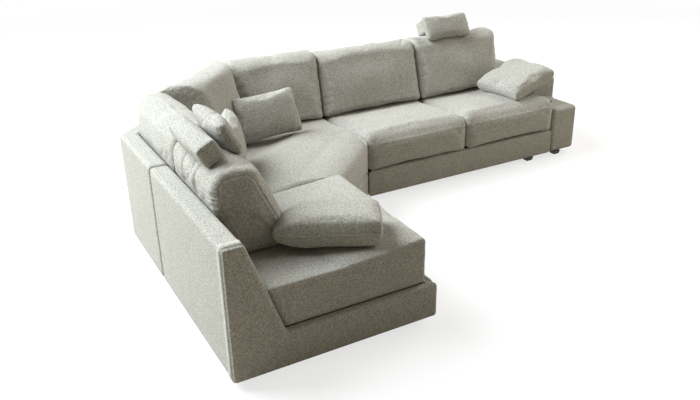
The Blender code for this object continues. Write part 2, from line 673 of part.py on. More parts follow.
def pillow(name, width, length, thick, draw, location, rotation, tuck=0.0):
    """Two crowned grids that share their rim; angles in degrees. A tuck presses one corner in."""
    shares = np.sin(np.linspace(-math.pi / 2, math.pi / 2, PILLOW_CELLS + 1))
    along, across = np.meshgrid(shares, shares, indexing="ij")
    crown = ((1 - np.abs(along) ** CROWN_POWER) * (1 - np.abs(across) ** CROWN_POWER)) ** CROWN_FALL
    x = width / 2 * along * (1 - draw * along ** 2 * (1 - across ** 2))
    pressed = tuck * np.clip(-along, 0, 1) ** 2 * (across > 0)
    y = length / 2 * across * (1 - draw * across ** 2 * (1 - along ** 2)) * (1 - pressed)
    z = thick / 2 * crown
    vertices, upper, lower = [], {}, {}
    for row in range(PILLOW_CELLS + 1):
        for column in range(PILLOW_CELLS + 1):
            key = (row, column)
            upper[key] = len(vertices)
            vertices.append((x[key], y[key], z[key]))
            if 0 in key or PILLOW_CELLS in key:
                lower[key] = upper[key]
            else:
                lower[key] = len(vertices)
                vertices.append((x[key], y[key], -z[key]))
    faces = []
    for row in range(PILLOW_CELLS):
        for column in range(PILLOW_CELLS):
            keys = [(row, column), (row + 1, column), (row + 1, column + 1), (row, column + 1)]
            faces.append([upper[key] for key in keys])
            faces.append([lower[key] for key in reversed(keys)])
    piece = soft_piece(name, vertices, faces, TWEED, location)
    piece.rotation_euler = [math.radians(angle) for angle in rotation]
    return piece


def outer_surface(piece):
    """World-space search tree of a finished piece, with points along its edges."""
    bpy.context.view_layer.update()
    finished = piece.evaluated_get(bpy.context.evaluated_depsgraph_get())
    mesh = finished.to_mesh()
    places = [finished.matrix_world @ vertex.co for vertex in mesh.vertices]
    mesh.calc_loop_triangles()
    triangles = [tuple(face.vertices) for face in mesh.loop_triangles]
    tree = BVHTree.FromPolygons(places, triangles)
    samples = []
    for corners in triangles:
        for first, second in zip(corners, corners[1:] + corners[:1]):
            start, end = places[first], places[second]
            samples += [start.lerp(end, step / EDGE_SAMPLES) for step in range(EDGE_SAMPLES)]
    finished.to_mesh_clear()
    return tree, samples


def settle(piece, direction, carriers):
    """Move a loose piece along a direction until it all but touches what carries it."""
    way = Vector(direction).normalized()
    own_tree, own_samples = outer_surface(piece)
    reach = []
    trees = []
    for name in carriers:
        tree, samples = outer_surface(bpy.data.objects[name])
        trees.append(tree)
        reach += [tree.ray_cast(point, way)[3] for point in own_samples]
        reach += [own_tree.ray_cast(point, -way)[3] for point in samples]
    free = [distance for distance in reach if distance is not None]
    piece.location = piece.location + way * (min(free) - SETTLE_GAP)
    while any(outer_surface(piece)[0].overlap(tree) for tree in trees):
        piece.location = piece.location - way * SEAT_GAP


DOWN = (0.0, 0.0, -1.0)
BACKWARDS = (0.0, 1.0, 0.0)
LEFTWARDS = (-1.0, 0.0, 0.0)
DROP = 0.25

# Headrests: a plump pillow in front of a firm block, both riding on a back cushion's crest
REST_WIDTH = 0.40
REST_TALL = 0.188
REST_THICK = 0.105
REST_DRAW_SHARE = 0.05
REST_RAKE = 30.0
REST_DEPTH = 0.272
WEIGHT_WIDTH = 0.42
WEIGHT_TALL = 0.105
WEIGHT_THICK = 0.10
WEIGHT_ROUND = 0.022
WEIGHT_RAKE = 27.0
WEIGHT_DEPTH = 0.17
WEIGHT_SWELL = 0.004
LEFT_REST_PLACE = -1.68
LEFT_WEIGHT_PLACE = -1.735
RIGHT_REST_PLACE = 2.615
RIGHT_WEIGHT_PLACE = 2.67


def headrest(side, rest_place, weight_place, turn, carrier):
    """Seat the block on the crest, then the pillow in front of it."""
    half_thick, half_wide = WEIGHT_THICK / 2, WEIGHT_WIDTH / 2
    rake = math.radians(WEIGHT_RAKE)
    corners = []
    for across, up in ((-half_thick, WEIGHT_TALL), (-half_thick, 0.0), (half_thick, 0.0),
                       (half_thick, WEIGHT_TALL)):
        depth = WEIGHT_DEPTH + across * math.cos(rake) - up * math.sin(rake)
        height = BACK_HEIGHT + DROP + across * math.sin(rake) + up * math.cos(rake)
        corners.append((depth, height, WEIGHT_ROUND))
    section = corners, [WEIGHT_SWELL] * 4, [1, 0, 1, 0]
    ends = ((weight_place - half_wide, 0.0, 0.0), (weight_place + half_wide, 0.0, 0.0))
    weight = cushion(f"headrest_weight_{side}", section, ends, WEIGHT_ROUND, 0.0, (0.0, 0.0, 0.0), turn)
    settle(weight, DOWN, [carrier])
    spin = Matrix.Rotation(math.radians(turn), 3, "Z")
    middle = spin @ Vector((rest_place, -REST_DEPTH, BACK_HEIGHT + DROP))
    rest = pillow(f"headrest_pillow_{side}", REST_WIDTH, REST_TALL, REST_THICK, REST_DRAW_SHARE,
                  middle, (90.0 - REST_RAKE, 0.0, turn))
    settle(rest, DOWN, [carrier, weight.name])


headrest("left", LEFT_REST_PLACE, LEFT_WEIGHT_PLACE, 90.0, "back_left_near")
headrest("right", RIGHT_REST_PLACE, RIGHT_WEIGHT_PLACE, 0.0, "back_c")

# Throw pillows: plan place, then tilt, lean and turn in degrees; each settles on what it lies against
THROW_WIDTH = 0.44
THROW_LENGTH = 0.31
THROW_THICK = 0.14
THROW_DRAW_SHARE = 0.06
LYING_WIDTH = 0.45
LYING_LENGTH = 0.285
LYING_THICK = 0.17
LYING_TUCK_SHARE = 0.9
CORNER_THROW_WIDTH = 0.42
CORNER_THROW_LENGTH = 0.29
CORNER_THROW_THICK = 0.13
BIG_THROW_WIDTH = 0.45
BIG_THROW_LENGTH = 0.43
CORNER_THROW_PLACE = (0.95, -0.75)
CORNER_THROW_TURNS = (64.0, -4.0, -2.0)
SIDE_THROW_PLACE = (0.80, -1.10)
SIDE_THROW_TURNS = (80.0, 0.0, 68.0)
LYING_THROW_PLACE = (0.74, -2.215)
LYING_THROW_TURNS = (0.0, 0.0, -27.0)
ARM_THROW_PLACE = (2.915, -0.745)
ARM_THROW_TURNS = (2.0, -16.0, 7.0)
throw_height = SEAT_HEIGHT + DROP


def throw_pillow(side, size, place, turns, moves, tuck=0.0):
    """Make a pillow above its place, then settle it along each move in turn."""
    piece = pillow(f"throw_pillow_{side}", *size, THROW_DRAW_SHARE, (*place, throw_height), turns, tuck)
    for direction, carriers in moves:
        settle(piece, direction, carriers)


throw_pillow("corner", (CORNER_THROW_WIDTH, CORNER_THROW_LENGTH, CORNER_THROW_THICK), CORNER_THROW_PLACE,
             CORNER_THROW_TURNS,
             [(DOWN, ["corner_seat"]), (BACKWARDS, ["back_a", "back_corner"])])
throw_pillow("side", (THROW_WIDTH, THROW_LENGTH, THROW_THICK), SIDE_THROW_PLACE, SIDE_THROW_TURNS,
             [(DOWN, ["corner_seat"]), (LEFTWARDS, ["back_left_far", "back_corner"])])
along_pillow = math.radians(LYING_THROW_TURNS[2])
throw_pillow("left_seat", (LYING_WIDTH, LYING_LENGTH, LYING_THICK), LYING_THROW_PLACE,
             LYING_THROW_TURNS, [(DOWN, ["left_seat"]),
                                 ((-math.cos(along_pillow), -math.sin(along_pillow), 0.0),
                                  ["back_left_near"])], LYING_TUCK_SHARE)
throw_pillow("arm", (BIG_THROW_WIDTH, BIG_THROW_LENGTH, THROW_THICK), ARM_THROW_PLACE,
             ARM_THROW_TURNS, [(DOWN, ["seat_2", "right_arm"])])
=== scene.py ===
"""Looks of an upholstered corner sofa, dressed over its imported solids. Metres, +Z up."""

import math

import bmesh
import bpy
import numpy as np
from mathutils import Matrix, Vector


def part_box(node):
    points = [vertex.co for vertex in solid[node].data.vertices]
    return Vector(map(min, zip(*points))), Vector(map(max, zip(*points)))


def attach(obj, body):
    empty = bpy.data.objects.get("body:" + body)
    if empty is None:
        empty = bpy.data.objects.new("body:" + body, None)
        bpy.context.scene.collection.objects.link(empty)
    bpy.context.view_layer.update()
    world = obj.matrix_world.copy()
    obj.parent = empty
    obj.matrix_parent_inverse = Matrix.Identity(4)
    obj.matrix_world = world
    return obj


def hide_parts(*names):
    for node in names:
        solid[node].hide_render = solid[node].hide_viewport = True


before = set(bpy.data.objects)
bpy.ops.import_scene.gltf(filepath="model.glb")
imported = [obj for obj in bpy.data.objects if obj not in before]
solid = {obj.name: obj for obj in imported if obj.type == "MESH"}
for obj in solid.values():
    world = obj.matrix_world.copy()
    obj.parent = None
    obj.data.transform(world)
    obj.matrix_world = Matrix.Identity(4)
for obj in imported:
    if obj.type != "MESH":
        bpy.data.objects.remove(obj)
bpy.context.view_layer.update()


def placed(name, data):
    """A new object with its data, linked to the scene."""
    thing = bpy.data.objects.new(name, data)
    bpy.context.scene.collection.objects.link(thing)
    return thing


# Tweed: one woven cover cloth for the frames and all the cushions, a melange of pale and dark yarns.
# Fine flecks show the two yarns, and a basket weave gives the cloth its grain.
PALE_YARN = (0.500, 0.490, 0.442, 1.0)
DARK_YARN = (0.205, 0.198, 0.172, 1.0)
FLECKS = 600.0
SLUBS = 180.0
SHADE_PATCHES = 9.0
WEAVE_PITCH = 0.0032
GRAIN_TURN = (0.5, 0.7, 0.3)


class Tone:
    """A socket among a material's nodes. Arithmetic adds Math nodes, and add() makes any other node."""

    def __init__(self, tree, socket):
        self.tree = tree
        self.socket = socket

    def add(self, kind, settings, sockets, output=0):
        """Makes a node of a kind, applies its settings first, fills its sockets, and gives one output."""
        made = self.tree.nodes.new("ShaderNode" + kind)
        stops = settings.get("stops", ())
        for name, value in settings.items():
            if name != "stops":
                setattr(made, name, value)
        for number, (position, colour) in enumerate(stops):
            if number < 2:
                stop = made.color_ramp.elements[number]
                stop.position = position
            else:
                stop = made.color_ramp.elements.new(position)
            stop.color = colour
        for name, value in sockets.items():
            if isinstance(value, Tone):
                self.tree.links.new(value.socket, made.inputs[name])
            else:
                made.inputs[name].default_value = value
        return Tone(self.tree, made.outputs[output])

    def maths(self, operation, *values):
        return self.add("Math", {"operation": operation}, dict(enumerate(values)))

    def __add__(self, other):
        return self.maths("ADD", self, other)

    def __sub__(self, other):
        return self.maths("SUBTRACT", self, other)

    def __rsub__(self, other):
        return self.maths("SUBTRACT", other, self)

    def __mul__(self, other):
        return self.maths("MULTIPLY", self, other)

    def __truediv__(self, other):
        return self.maths("DIVIDE", self, other)

    def __pow__(self, other):
        return self.maths("POWER", self, other)

    __radd__ = __add__
    __rmul__ = __mul__


def blank_finish(name, roughness, specular):
    """A material with its Principled shader, and its Object and Normal coordinates."""
    material = bpy.data.materials.new(name)
    material.use_nodes = True
    tree = material.node_tree
    shader = tree.nodes["Principled BSDF"]
    shader.inputs["Roughness"].default_value = roughness
    shader.inputs["Specular IOR Level"].default_value = specular
    spots = tree.nodes.new("ShaderNodeTexCoord")
    return material, shader, Tone(tree, spots.outputs["Object"]), Tone(tree, spots.outputs["Normal"])


def blended(factor, low, high):
    """Two colours mixed by a factor."""
    return factor.add("Mix", {"data_type": "RGBA"}, {0: factor, 6: low, 7: high}, 2)


def parted(vector):
    """The three numbers of a vector."""
    return [vector.add("SeparateXYZ", {}, {0: vector}, output) for output in range(3)]


def feed(shader, **tones):
    """Links what varies over the surface to the shader's sockets."""
    for name, tone in tones.items():
        tone.tree.links.new(tone.socket, shader.inputs[name.replace("_", " ")])


def basket(across, along, pitch):
    """Weave height: the product of a sine across and a sine along, so that yarns pass over in turn."""
    return (across * (math.tau / pitch)).maths("SINE", across * (math.tau / pitch)) * \
        (along * (math.tau / pitch)).maths("SINE", along * (math.tau / pitch))


def woven_cloth(name):
    """Pale and dark yarns mixed by stretched noise, with a basket weave on the face that a spot lies in.

    The noise is turned, because it is weaker on faces that lie along its own planes.
    """
    material, shader, place, facing = blank_finish(name, 0.95, 0.18)
    shader.inputs["Sheen Weight"].default_value = 0.12
    shader.inputs["Sheen Roughness"].default_value = 0.5
    upright = place.add("Mapping", {}, {"Vector": place, "Scale": (1.0, 1.0, 0.4), "Rotation": GRAIN_TURN})
    level = place.add("Mapping", {}, {"Vector": place, "Scale": (0.4, 0.4, 1.0), "Rotation": GRAIN_TURN})
    even = place.add("Mapping", {}, {"Vector": place, "Rotation": GRAIN_TURN})
    flecks = {"Scale": FLECKS, "Detail": 2.0, "Roughness": 0.75}
    warp = place.add("TexNoise", {}, {"Vector": upright, **flecks})
    weft = place.add("TexNoise", {}, {"Vector": level, **flecks})
    slub = place.add("TexNoise", {}, {"Vector": even, "Scale": SLUBS, "Detail": 1.0})
    patch = place.add("TexNoise", {}, {"Vector": even, "Scale": SHADE_PATCHES, "Detail": 1.0})
    mix = (warp + weft - 1.0) * 1.4 + (slub - 0.5) * 2.2 + (patch - 0.5) * 0.15 + 0.5
    yarn = mix.add("Clamp", {}, {"Value": mix, "Min": 0.0, "Max": 1.0})
    feed(shader, Base_Color=blended(yarn, DARK_YARN, PALE_YARN))
    x, y, z = parted(place)
    shares = [part.maths("ABSOLUTE", part) ** 4.0 for part in parted(facing)]
    total = shares[0] + shares[1] + shares[2] + 0.0001
    weave = (shares[0] * basket(y, z, WEAVE_PITCH) + shares[1] * basket(x, z, WEAVE_PITCH)
             + shares[2] * basket(x, y, WEAVE_PITCH)) / total
    height = weave * 0.3 + warp + weft
    relief = height.add("Bump", {}, {"Strength": 0.4, "Distance": 0.001, "Height": height})
    feed(shader, Normal=relief)
    return material


TWEED = woven_cloth("tweed_fabric")


def dress(names, material):
    """Gives carried-over solids their finish."""
    for name in names:
        slots = solid[name].data.materials
        slots.clear()
        slots.append(material)


# Bases: pine boards on edge, mitred at the corners and joined under the frames by zinc-plated plates.
# The front boards are covered in tweed, and the others stay bare inside.
PALE_WOOD = (0.66, 0.50, 0.32, 1.0)
DARK_WOOD = (0.42, 0.27, 0.14, 1.0)


def planed_pine():
    """Growth rings as bands, bent by noise, with fine pores along the board."""
    material, shader, place, _ = blank_finish("pine_timber", 0.6, 0.35)
    lying = place.add("Mapping", {}, {"Vector": place, "Scale": (3.0, 3.0, 14.0)})
    bend = place.add("TexNoise", {}, {"Vector": lying, "Scale": 1.6, "Detail": 2.0})
    rings = place.add("TexWave", {"bands_direction": "Z"},
                      {"Vector": lying, "Scale": 1.1, "Distortion": 3.0, "Detail": 2.0})
    pores = place.add("TexNoise", {}, {"Vector": place, "Scale": 320.0, "Detail": 1.0})
    factor = rings * 0.5 + bend * 0.35 + pores * 0.15
    feed(shader, Base_Color=blended(factor, PALE_WOOD, DARK_WOOD), Roughness=pores * 0.25 + 0.5)
    relief = factor.add("Bump", {}, {"Strength": 0.3, "Distance": 0.0006, "Height": factor})
    feed(shader, Normal=relief)
    return material


def plated_zinc():
    """Spangled zinc: small crystal patches with their own roughness."""
    material, shader, place, _ = blank_finish("zinc_steel", 0.4, 0.5)
    shader.inputs["Metallic"].default_value = 1.0
    spangle = place.add("TexVoronoi", {}, {"Vector": place, "Scale": 220.0}, "Color")
    grain = parted(spangle)[0]
    feed(shader, Base_Color=blended(grain, (0.50, 0.51, 0.52, 1.0), (0.68, 0.69, 0.70, 1.0)),
         Roughness=grain * 0.2 + 0.3)
    return material


dress([name for name in solid if name.endswith("_front_board")], TWEED)
PINE = planed_pine()
dress([name for name in solid if "_board" in name and not name.endswith("_front_board")], PINE)
dress(["joining_plate_right", "joining_plate_left"], plated_zinc())

# Boards that meet a covered front board: their mitred tips are sawn back, so that the cover can turn in
# round the front board's end and no bare wood shows in the joint.
PLAN_X, PLAN_Y = -1.639, 1.205
SAWN = 0.035
TIP = 0.012
TIPS = [("right_joint_board", 1.47, -1.04, 0, 1), ("right_arm_board", 3.05, -1.04, 0, 1),
        ("corner_right_board", 1.47, -1.04, 0, 1), ("corner_left_board", 1.04, -1.47, -1, 0),
        ("left_joint_board", 1.04, -1.47, -1, 0), ("left_end_board", 1.04, -2.375, -1, 0)]


def sawn_back(name, x, y, way_x, way_y):
    """A board whose points near a plan corner are moved along the board by the sawn length."""
    kept = bmesh.new()
    kept.from_mesh(solid[name].data)
    bmesh.ops.remove_doubles(kept, verts=kept.verts, dist=0.00001)
    corner = Vector((x + PLAN_X, y + PLAN_Y))
    for vertex in kept.verts:
        if (vertex.co.xy - corner).length < TIP:
            vertex.co += Vector((way_x, way_y, 0.0)) * SAWN
    mesh = bpy.data.meshes.new(f"{name}_sawn")
    kept.to_mesh(mesh)
    kept.free()
    mesh.materials.clear()
    mesh.materials.append(PINE)
    board = placed(f"{name}_sawn", mesh)
    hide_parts(name)
    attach(board, "frame")


for tip in TIPS:
    sawn_back(*tip)

# Seat decks: dark elastic webbing in woven straps, let in behind the front boards.
STRAP = 0.07


def strap_webbing():
    """Straps as a checker of wide bands over and under, with fine ribs along them, and painted shade that
    darkens the lines between the straps.
    """
    material, shader, place, _ = blank_finish("elastic_webbing", 0.85, 0.2)
    x, y, _ = parted(place)
    over = basket(x, y, 2 * STRAP)
    ribs = basket(x, y, 0.004)
    # Painted shade: along the lines between the straps the tone falls to near black, standing in for the
    # shade in the gaps.
    shaded_gap_x = (x * (math.tau / STRAP)).maths("COSINE", x * (math.tau / STRAP))
    shaded_gap_y = (y * (math.tau / STRAP)).maths("COSINE", y * (math.tau / STRAP))
    edge = shaded_gap_x.maths("MAXIMUM", shaded_gap_x, shaded_gap_y) ** 6.0
    tone = (over * 0.15 + ribs * 0.1 + 0.35) * (1.0 - edge)
    feed(shader, Base_Color=blended(tone, (0.015, 0.015, 0.015, 1.0), (0.16, 0.155, 0.15, 1.0)))
    relief = tone.add("Bump", {}, {"Strength": 0.6, "Distance": 0.002, "Height": tone})
    feed(shader, Normal=relief)
    return material


dress([name for name in solid if "deck" in name], strap_webbing())

# Feet and charging point: moulded black plastic with a fine satin grain.


def moulded_black():
    """Near-black plastic with a fine spark-eroded grain."""
    material, shader, place, _ = blank_finish("black_plastic", 0.42, 0.5)
    grain = place.add("TexNoise", {}, {"Vector": place, "Scale": 900.0, "Detail": 2.0})
    feed(shader, Base_Color=blended(grain, (0.010, 0.010, 0.011, 1.0), (0.022, 0.022, 0.023, 1.0)),
         Roughness=grain * 0.2 + 0.33)
    relief = grain.add("Bump", {}, {"Strength": 0.25, "Distance": 0.0003, "Height": grain})
    feed(shader, Normal=relief)
    return material


BLACK = moulded_black()
dress([name for name in solid if name.startswith("foot_") or name.startswith("charger_")], BLACK)

# Upholstered frames: padded boards under tweed, one shell for each module, an end panel and a stepped arm.
dress(["left_back", "corner_back", "right_back", "end_panel", "right_arm"], TWEED)
LEAST_CORNER = 0.25
FRAME_TOP = 0.097
FRAME_FOOT = 0.258
FRAME_HIGH = 0.67
FLOOR_GAP = 0.03
BASE_TOP = 0.21
SEAM_SIDE = 0.0045


def outline(corners, insets, swells, u):
    """A polygon with its sides moved in, its corners turned as arcs and its sides swelled.

    From u = 2i to 2i + 1 the line goes round corner i, and on to 2i + 2 along the side after it. The
    corners are (n, 3) of place and radius, insets and swells are (rows, n), and the points come as
    (rows, u, 2).
    """
    corners = np.asarray(corners, float)
    spots = corners[:, :2]
    along = np.roll(spots, -1, 0) - spots
    along /= np.linalg.norm(along, axis=1)[:, None]
    out = np.stack([along[:, 1], -along[:, 0]], 1)
    out_before, along_before = np.roll(out, 1, 0), np.roll(along, 1, 0)
    pull = np.linalg.inv(np.stack([-out_before, -out], 1))
    pair = np.stack([np.roll(insets, 1, 1), insets], -1)
    moved = spots + np.einsum("nij,rnj->rni", pull, pair)
    radius = np.maximum(corners[:, 2] - pair.min(-1), LEAST_CORNER * corners[:, 2])
    start = np.arctan2(out_before[:, 1], out_before[:, 0])
    turn = np.arctan2(along_before[:, 0] * along[:, 1] - along_before[:, 1] * along[:, 0],
                      (along_before * along).sum(1))
    reach = radius * np.tan(turn / 2)
    centre = moved - along_before * reach[..., None] - out_before * radius[..., None]
    points = np.zeros((len(insets), len(u), 2))
    for i in range(len(corners)):
        after = (i + 1) % len(corners)
        bend = (u >= 2 * i) & (u < 2 * i + 1)
        angle = start[i] + turn[i] * (u[bend] - 2 * i)
        arc = np.stack([np.cos(angle), np.sin(angle)], -1)
        points[:, bend] = centre[:, None, i] + radius[:, i, None, None] * arc
        side = (u >= 2 * i + 1) & (u < 2 * i + 2)
        share = (u[side] - 2 * i - 1)[:, None]
        begin = (moved[:, i] + along[i] * reach[:, i, None])[:, None]
        end = (moved[:, after] - along[i] * reach[:, after, None])[:, None]
        swell = swells[:, i, None, None] * np.sin(math.pi * share) ** 1.4
        points[:, side] = begin + (end - begin) * share + out[i] * swell
    return points


def stations(corners, step, coarse=(), seams=(), fine=()):
    """Places along an outline about a step apart, wider on coarse sides, and close beside each seam.

    A fine stretch, given by its first and last u, has its steps divided by three.
    """
    corners = np.asarray(corners, float)
    count = len(corners)
    sides = np.roll(corners[:, :2], -1, 0) - corners[:, :2]
    heading = np.arctan2(sides[:, 1], sides[:, 0])
    turns = (heading - np.roll(heading, 1) + math.pi) % math.tau - math.pi
    places, rate = [], []
    for i in range(count):
        arc = max(corners[i, 2] * abs(turns[i]), 0.001)
        tight = [3.0 if any(first <= 2 * i + half < last for first, last in fine) else 1.0
                 for half in (0, 1)]
        bends = max(2, round(arc / step * tight[0]))
        long = np.hypot(*sides[i])
        steps = max(2, round(long / (step * (3.0 if i in coarse else 1.0)) * tight[1]))
        if corners[i, 2] > 0.0:
            places.append(2 * i + np.arange(bends) / bends)
        places.append(2 * i + 1 + np.arange(steps) / steps)
        rate += [arc, long]
    u = np.concatenate(places)
    for seam in seams:
        close = SEAM_SIDE / rate[int(seam)]
        u = u[np.abs(u - seam) > 1.6 * close]
        u = np.concatenate([u, seam + np.array([-close, 0.0, close])])
    return np.sort(u)


def closed_rings(grid):
    """A grid of rings as points and quads, with each end ring closed by quads across it, like a ladder."""
    rings, size = grid.shape[:2]
    ring, step = np.meshgrid(np.arange(rings - 1), np.arange(size), indexing="ij")
    after = (step + 1) % size
    quads = np.stack([ring * size + step, ring * size + after, (ring + 1) * size + after,
                      (ring + 1) * size + step], -1).reshape(-1, 4)
    rung = np.arange((size - 2) // 2)
    ladder = np.stack([rung, rung + 1, size - 2 - rung, size - 1 - rung], -1)
    last = (rings - 1) * size
    faces = np.concatenate([quads, ladder[:, ::-1], ladder + last]).tolist()
    if size % 2:
        middle = size // 2
        faces += [[middle + 1, middle, middle - 1], [last + middle - 1, last + middle, last + middle + 1]]
    return grid.reshape(-1, 3), faces


def into_plan(points, turn, place=(0.0, 0.0)):
    """Turns points about the vertical, moves them to a plan place, and on into the frame of the solids."""
    angle = math.radians(turn)
    x = points[..., 0] * math.cos(angle) - points[..., 1] * math.sin(angle) + place[0] + PLAN_X
    y = points[..., 0] * math.sin(angle) + points[..., 1] * math.cos(angle) + place[1] + PLAN_Y
    return np.stack([x, y, points[..., 2]], -1)


def cover(name, points, faces):
    """One closed cover: a mesh whose faces look outwards, smooth, in tweed."""
    mesh = bpy.data.meshes.new(name)
    mesh.from_pydata(points.tolist(), [], faces)
    mesh.calc_loop_triangles()
    corners = np.zeros(len(mesh.loop_triangles) * 3, int)
    mesh.loop_triangles.foreach_get("vertices", corners)
    a, b, c = (points[corners.reshape(-1, 3)[:, k]] for k in range(3))
    if (a * np.cross(b, c)).sum() < 0.0:
        mesh.flip_normals()
    mesh.shade_smooth()
    mesh.materials.append(TWEED)
    return placed(name, mesh)


def added(piece, body):
    """Attaches a piece of cloth that only the dressed sofa has to its body."""
    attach(piece, body)


# The short wing's frame and its end panel share one stretched cover, so a band of the same cloth closes the
# joint between them, round the outside, the top and the raked front.
PROUD = 0.0006
BAND_NEAR, BAND_FAR = -2.3935, -2.345
section = [(0.0, FRAME_HIGH, 0.02), (0.0, FLOOR_GAP, 0.012), (FRAME_FOOT, FLOOR_GAP, 0.004),
           (FRAME_FOOT, BASE_TOP, 0.004), (FRAME_TOP, FRAME_HIGH, 0.014)]
flat = outline(section, np.full((2, 5), -PROUD), np.zeros((2, 5)), stations(section, 0.006, (0, 1, 2)))
band = np.stack([flat[..., 0], np.repeat([[BAND_NEAR], [BAND_FAR]], flat.shape[1], 1), flat[..., 1]], -1)
added(cover("end_closing_band", *closed_rings(into_plan(band, 0.0))), "frame")

# Platform cloth: the strip of tweed that runs from the covered edge of the short wing's base in under its
# seat cushion, where the ledge shows.
LEDGE_TOP = 0.2099
LEDGE_THICK = 0.012
LEDGE = [(0.262, -2.391), (1.026, -2.391), (1.026, -2.357), (1.010, -2.357), (1.010, -1.474),
         (0.985, -1.474), (0.985, -2.366), (0.262, -2.366)]
spots = [(x + PLAN_X, y + PLAN_Y, z) for z in (LEDGE_TOP - LEDGE_THICK, LEDGE_TOP) for x, y in LEDGE]
around = np.arange(8)
walls = np.stack([around, (around + 1) % 8, (around + 1) % 8 + 8, around + 8], 1)
mesh = bpy.data.meshes.new("platform_cloth")
mesh.from_pydata(spots, [], walls.tolist() + [around[::-1].tolist(), (around + 8).tolist()])
mesh.materials.append(TWEED)
added(placed("platform_cloth", mesh), "frame")

# Seat cushions: foam blocks in sewn covers, pressed flat under the backs and crowned in front of them.
# The cover wraps from the bottom over the nose, and a side panel closes each end with a piped seam.
FLOOR_OF_SEAT = 0.2103
SEAT_TOP = 0.451
PRESSED = 0.42
REAR = 0.262
CREASE = 0.52
FRONT = 1.04
CORNER_END = 1.47
SEAT_WIDE = 0.79
GAP = 0.002
RAKE = (FRAME_FOOT - FRAME_TOP) / (FRAME_HIGH - BASE_TOP)
OFF_FRAME = 0.004
PANEL = np.array([0.05, 0.12, 0.22, 0.34, 0.46, 0.58, 0.70, 0.81, 0.90, 0.96])
PANEL_REACH = 0.14
ROUNDING = 0.05
PLEAT = 0.021
PUCKER = 0.05
PUCKER_REACH = 0.035
SOFT_WAVE = 0.28


def cover_rows(half, edge, step, seam_turn, bulges):
    """Rows of a cover from one end panel's middle to the other's, as a table of five columns.

    Share across from -1 to 1, inset of the outline, scale of the outline, outward bulge, and distance from
    the seam. A quarter circle of the edge radius leads from the wrap to each end panel.
    """
    seam = math.radians(seam_turn)
    near = SEAM_SIDE / edge
    angles = np.linspace(math.pi / 2, 0.0, max(5, round(edge * 1.57 / step) + 1))
    angles = angles[np.abs(angles - seam) > 1.5 * near]
    angles = np.sort(np.concatenate([angles, seam + np.array([-near, 0.0, near])]))[::-1]
    middle = np.linspace(1.0 - edge / half, 0.0, max(3, round((half - edge) / step)) + 1)[1:]

    def rows(*columns):
        """Columns side by side, with single numbers repeated all the way down."""
        return np.column_stack(np.broadcast_arrays(*columns))

    def side(bulge):
        """The rows from one end panel's middle to the cover's middle."""
        flat = rows(1.0, edge, PANEL, bulge, edge * (math.pi / 2 - seam) + PANEL_REACH * (1.0 - PANEL))
        bend = rows(1.0 - edge / half * (1.0 - np.sin(angles)), edge * (1.0 - np.cos(angles)), 1.0, 0.0,
                    edge * np.abs(angles - seam))
        run = rows(middle, 0.0, 1.0, 0.0, edge * seam + half * (1.0 - edge / half - middle))
        return np.concatenate([flat, bend, run])

    first, second = side(bulges[0]), side(bulges[1])[:-1][::-1]
    first[:, 0] *= -1.0
    return np.concatenate([first, second])


def ripples(points, length, seed):
    """Soft noise: sixteen plane waves of about one length, in directions and phases from the seed."""
    dice = np.random.default_rng(seed)
    ways = dice.normal(size=(16, 3))
    ways *= (math.tau / length * dice.uniform(0.7, 1.4, 16) / np.linalg.norm(ways, axis=1))[:, None]
    return np.cos(points @ ways.T + dice.uniform(0.0, math.tau, 16)).sum(-1) / 4.0


FILL_TIME = 20
covers = {}
waiting = []


def grouped(piece, name, chosen):
    """A vertex group of the chosen points."""
    group = piece.vertex_groups.new(name=name)
    group.add(np.flatnonzero(chosen).tolist(), 1.0, "REPLACE")
    return group


def filled(piece, held, relief, pressure, slack, cap, against=()):
    """Readies a cover for its filling: a cloth under pressure, which the held points keep in place.

    The cloth is cut larger than the form by the slack, and no point may move more than the cap. What then
    lies inside the pieces that it rests against is pressed out of them. The relief of seams and puckers is
    added last, along the normals.
    """
    waiting.append((piece, relief, cap, [covers[other] for other in against]))
    grouped(piece, "held", held)
    sewing = piece.modifiers.new("filling", "CLOTH")
    sewing.point_cache.frame_start, sewing.point_cache.frame_end = 1, FILL_TIME
    cloth = sewing.settings
    cloth.use_pressure = True
    cloth.uniform_pressure_force = pressure
    cloth.effector_weights.gravity = 0.0
    cloth.vertex_group_mass = "held"
    cloth.quality = 5
    cloth.shrink_min = -slack


def cushion(name, node, body, form, blow, against=()):
    """A padded piece: its cover, the solid that it stands for, what carries it, and its filling.

    The form is (points, faces, held points, relief) and the blow (pressure, slack, cap). What it rests
    against is given by the names of solids.
    """
    points, faces, held, relief = form
    piece = cover(name, points, faces)
    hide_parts(node)
    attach(piece, body)
    filled(piece, held, relief, *blow, against)
    covers[node] = piece


def rounding_off(corners, edge, flat):
    """How far an end panel rises inside its seam: the product over its sides of 1 - exp(-depth / reach)."""
    spots = np.asarray(corners, float)[:, :2]
    along = np.roll(spots, -1, 0) - spots
    along /= np.linalg.norm(along, axis=1)[:, None]
    out = np.stack([along[:, 1], -along[:, 0]], 1)
    depth = np.maximum((spots * out).sum(1) - flat @ out.T - edge, 0.0)
    return (1.0 - np.exp(-depth / ROUNDING)).prod(-1)


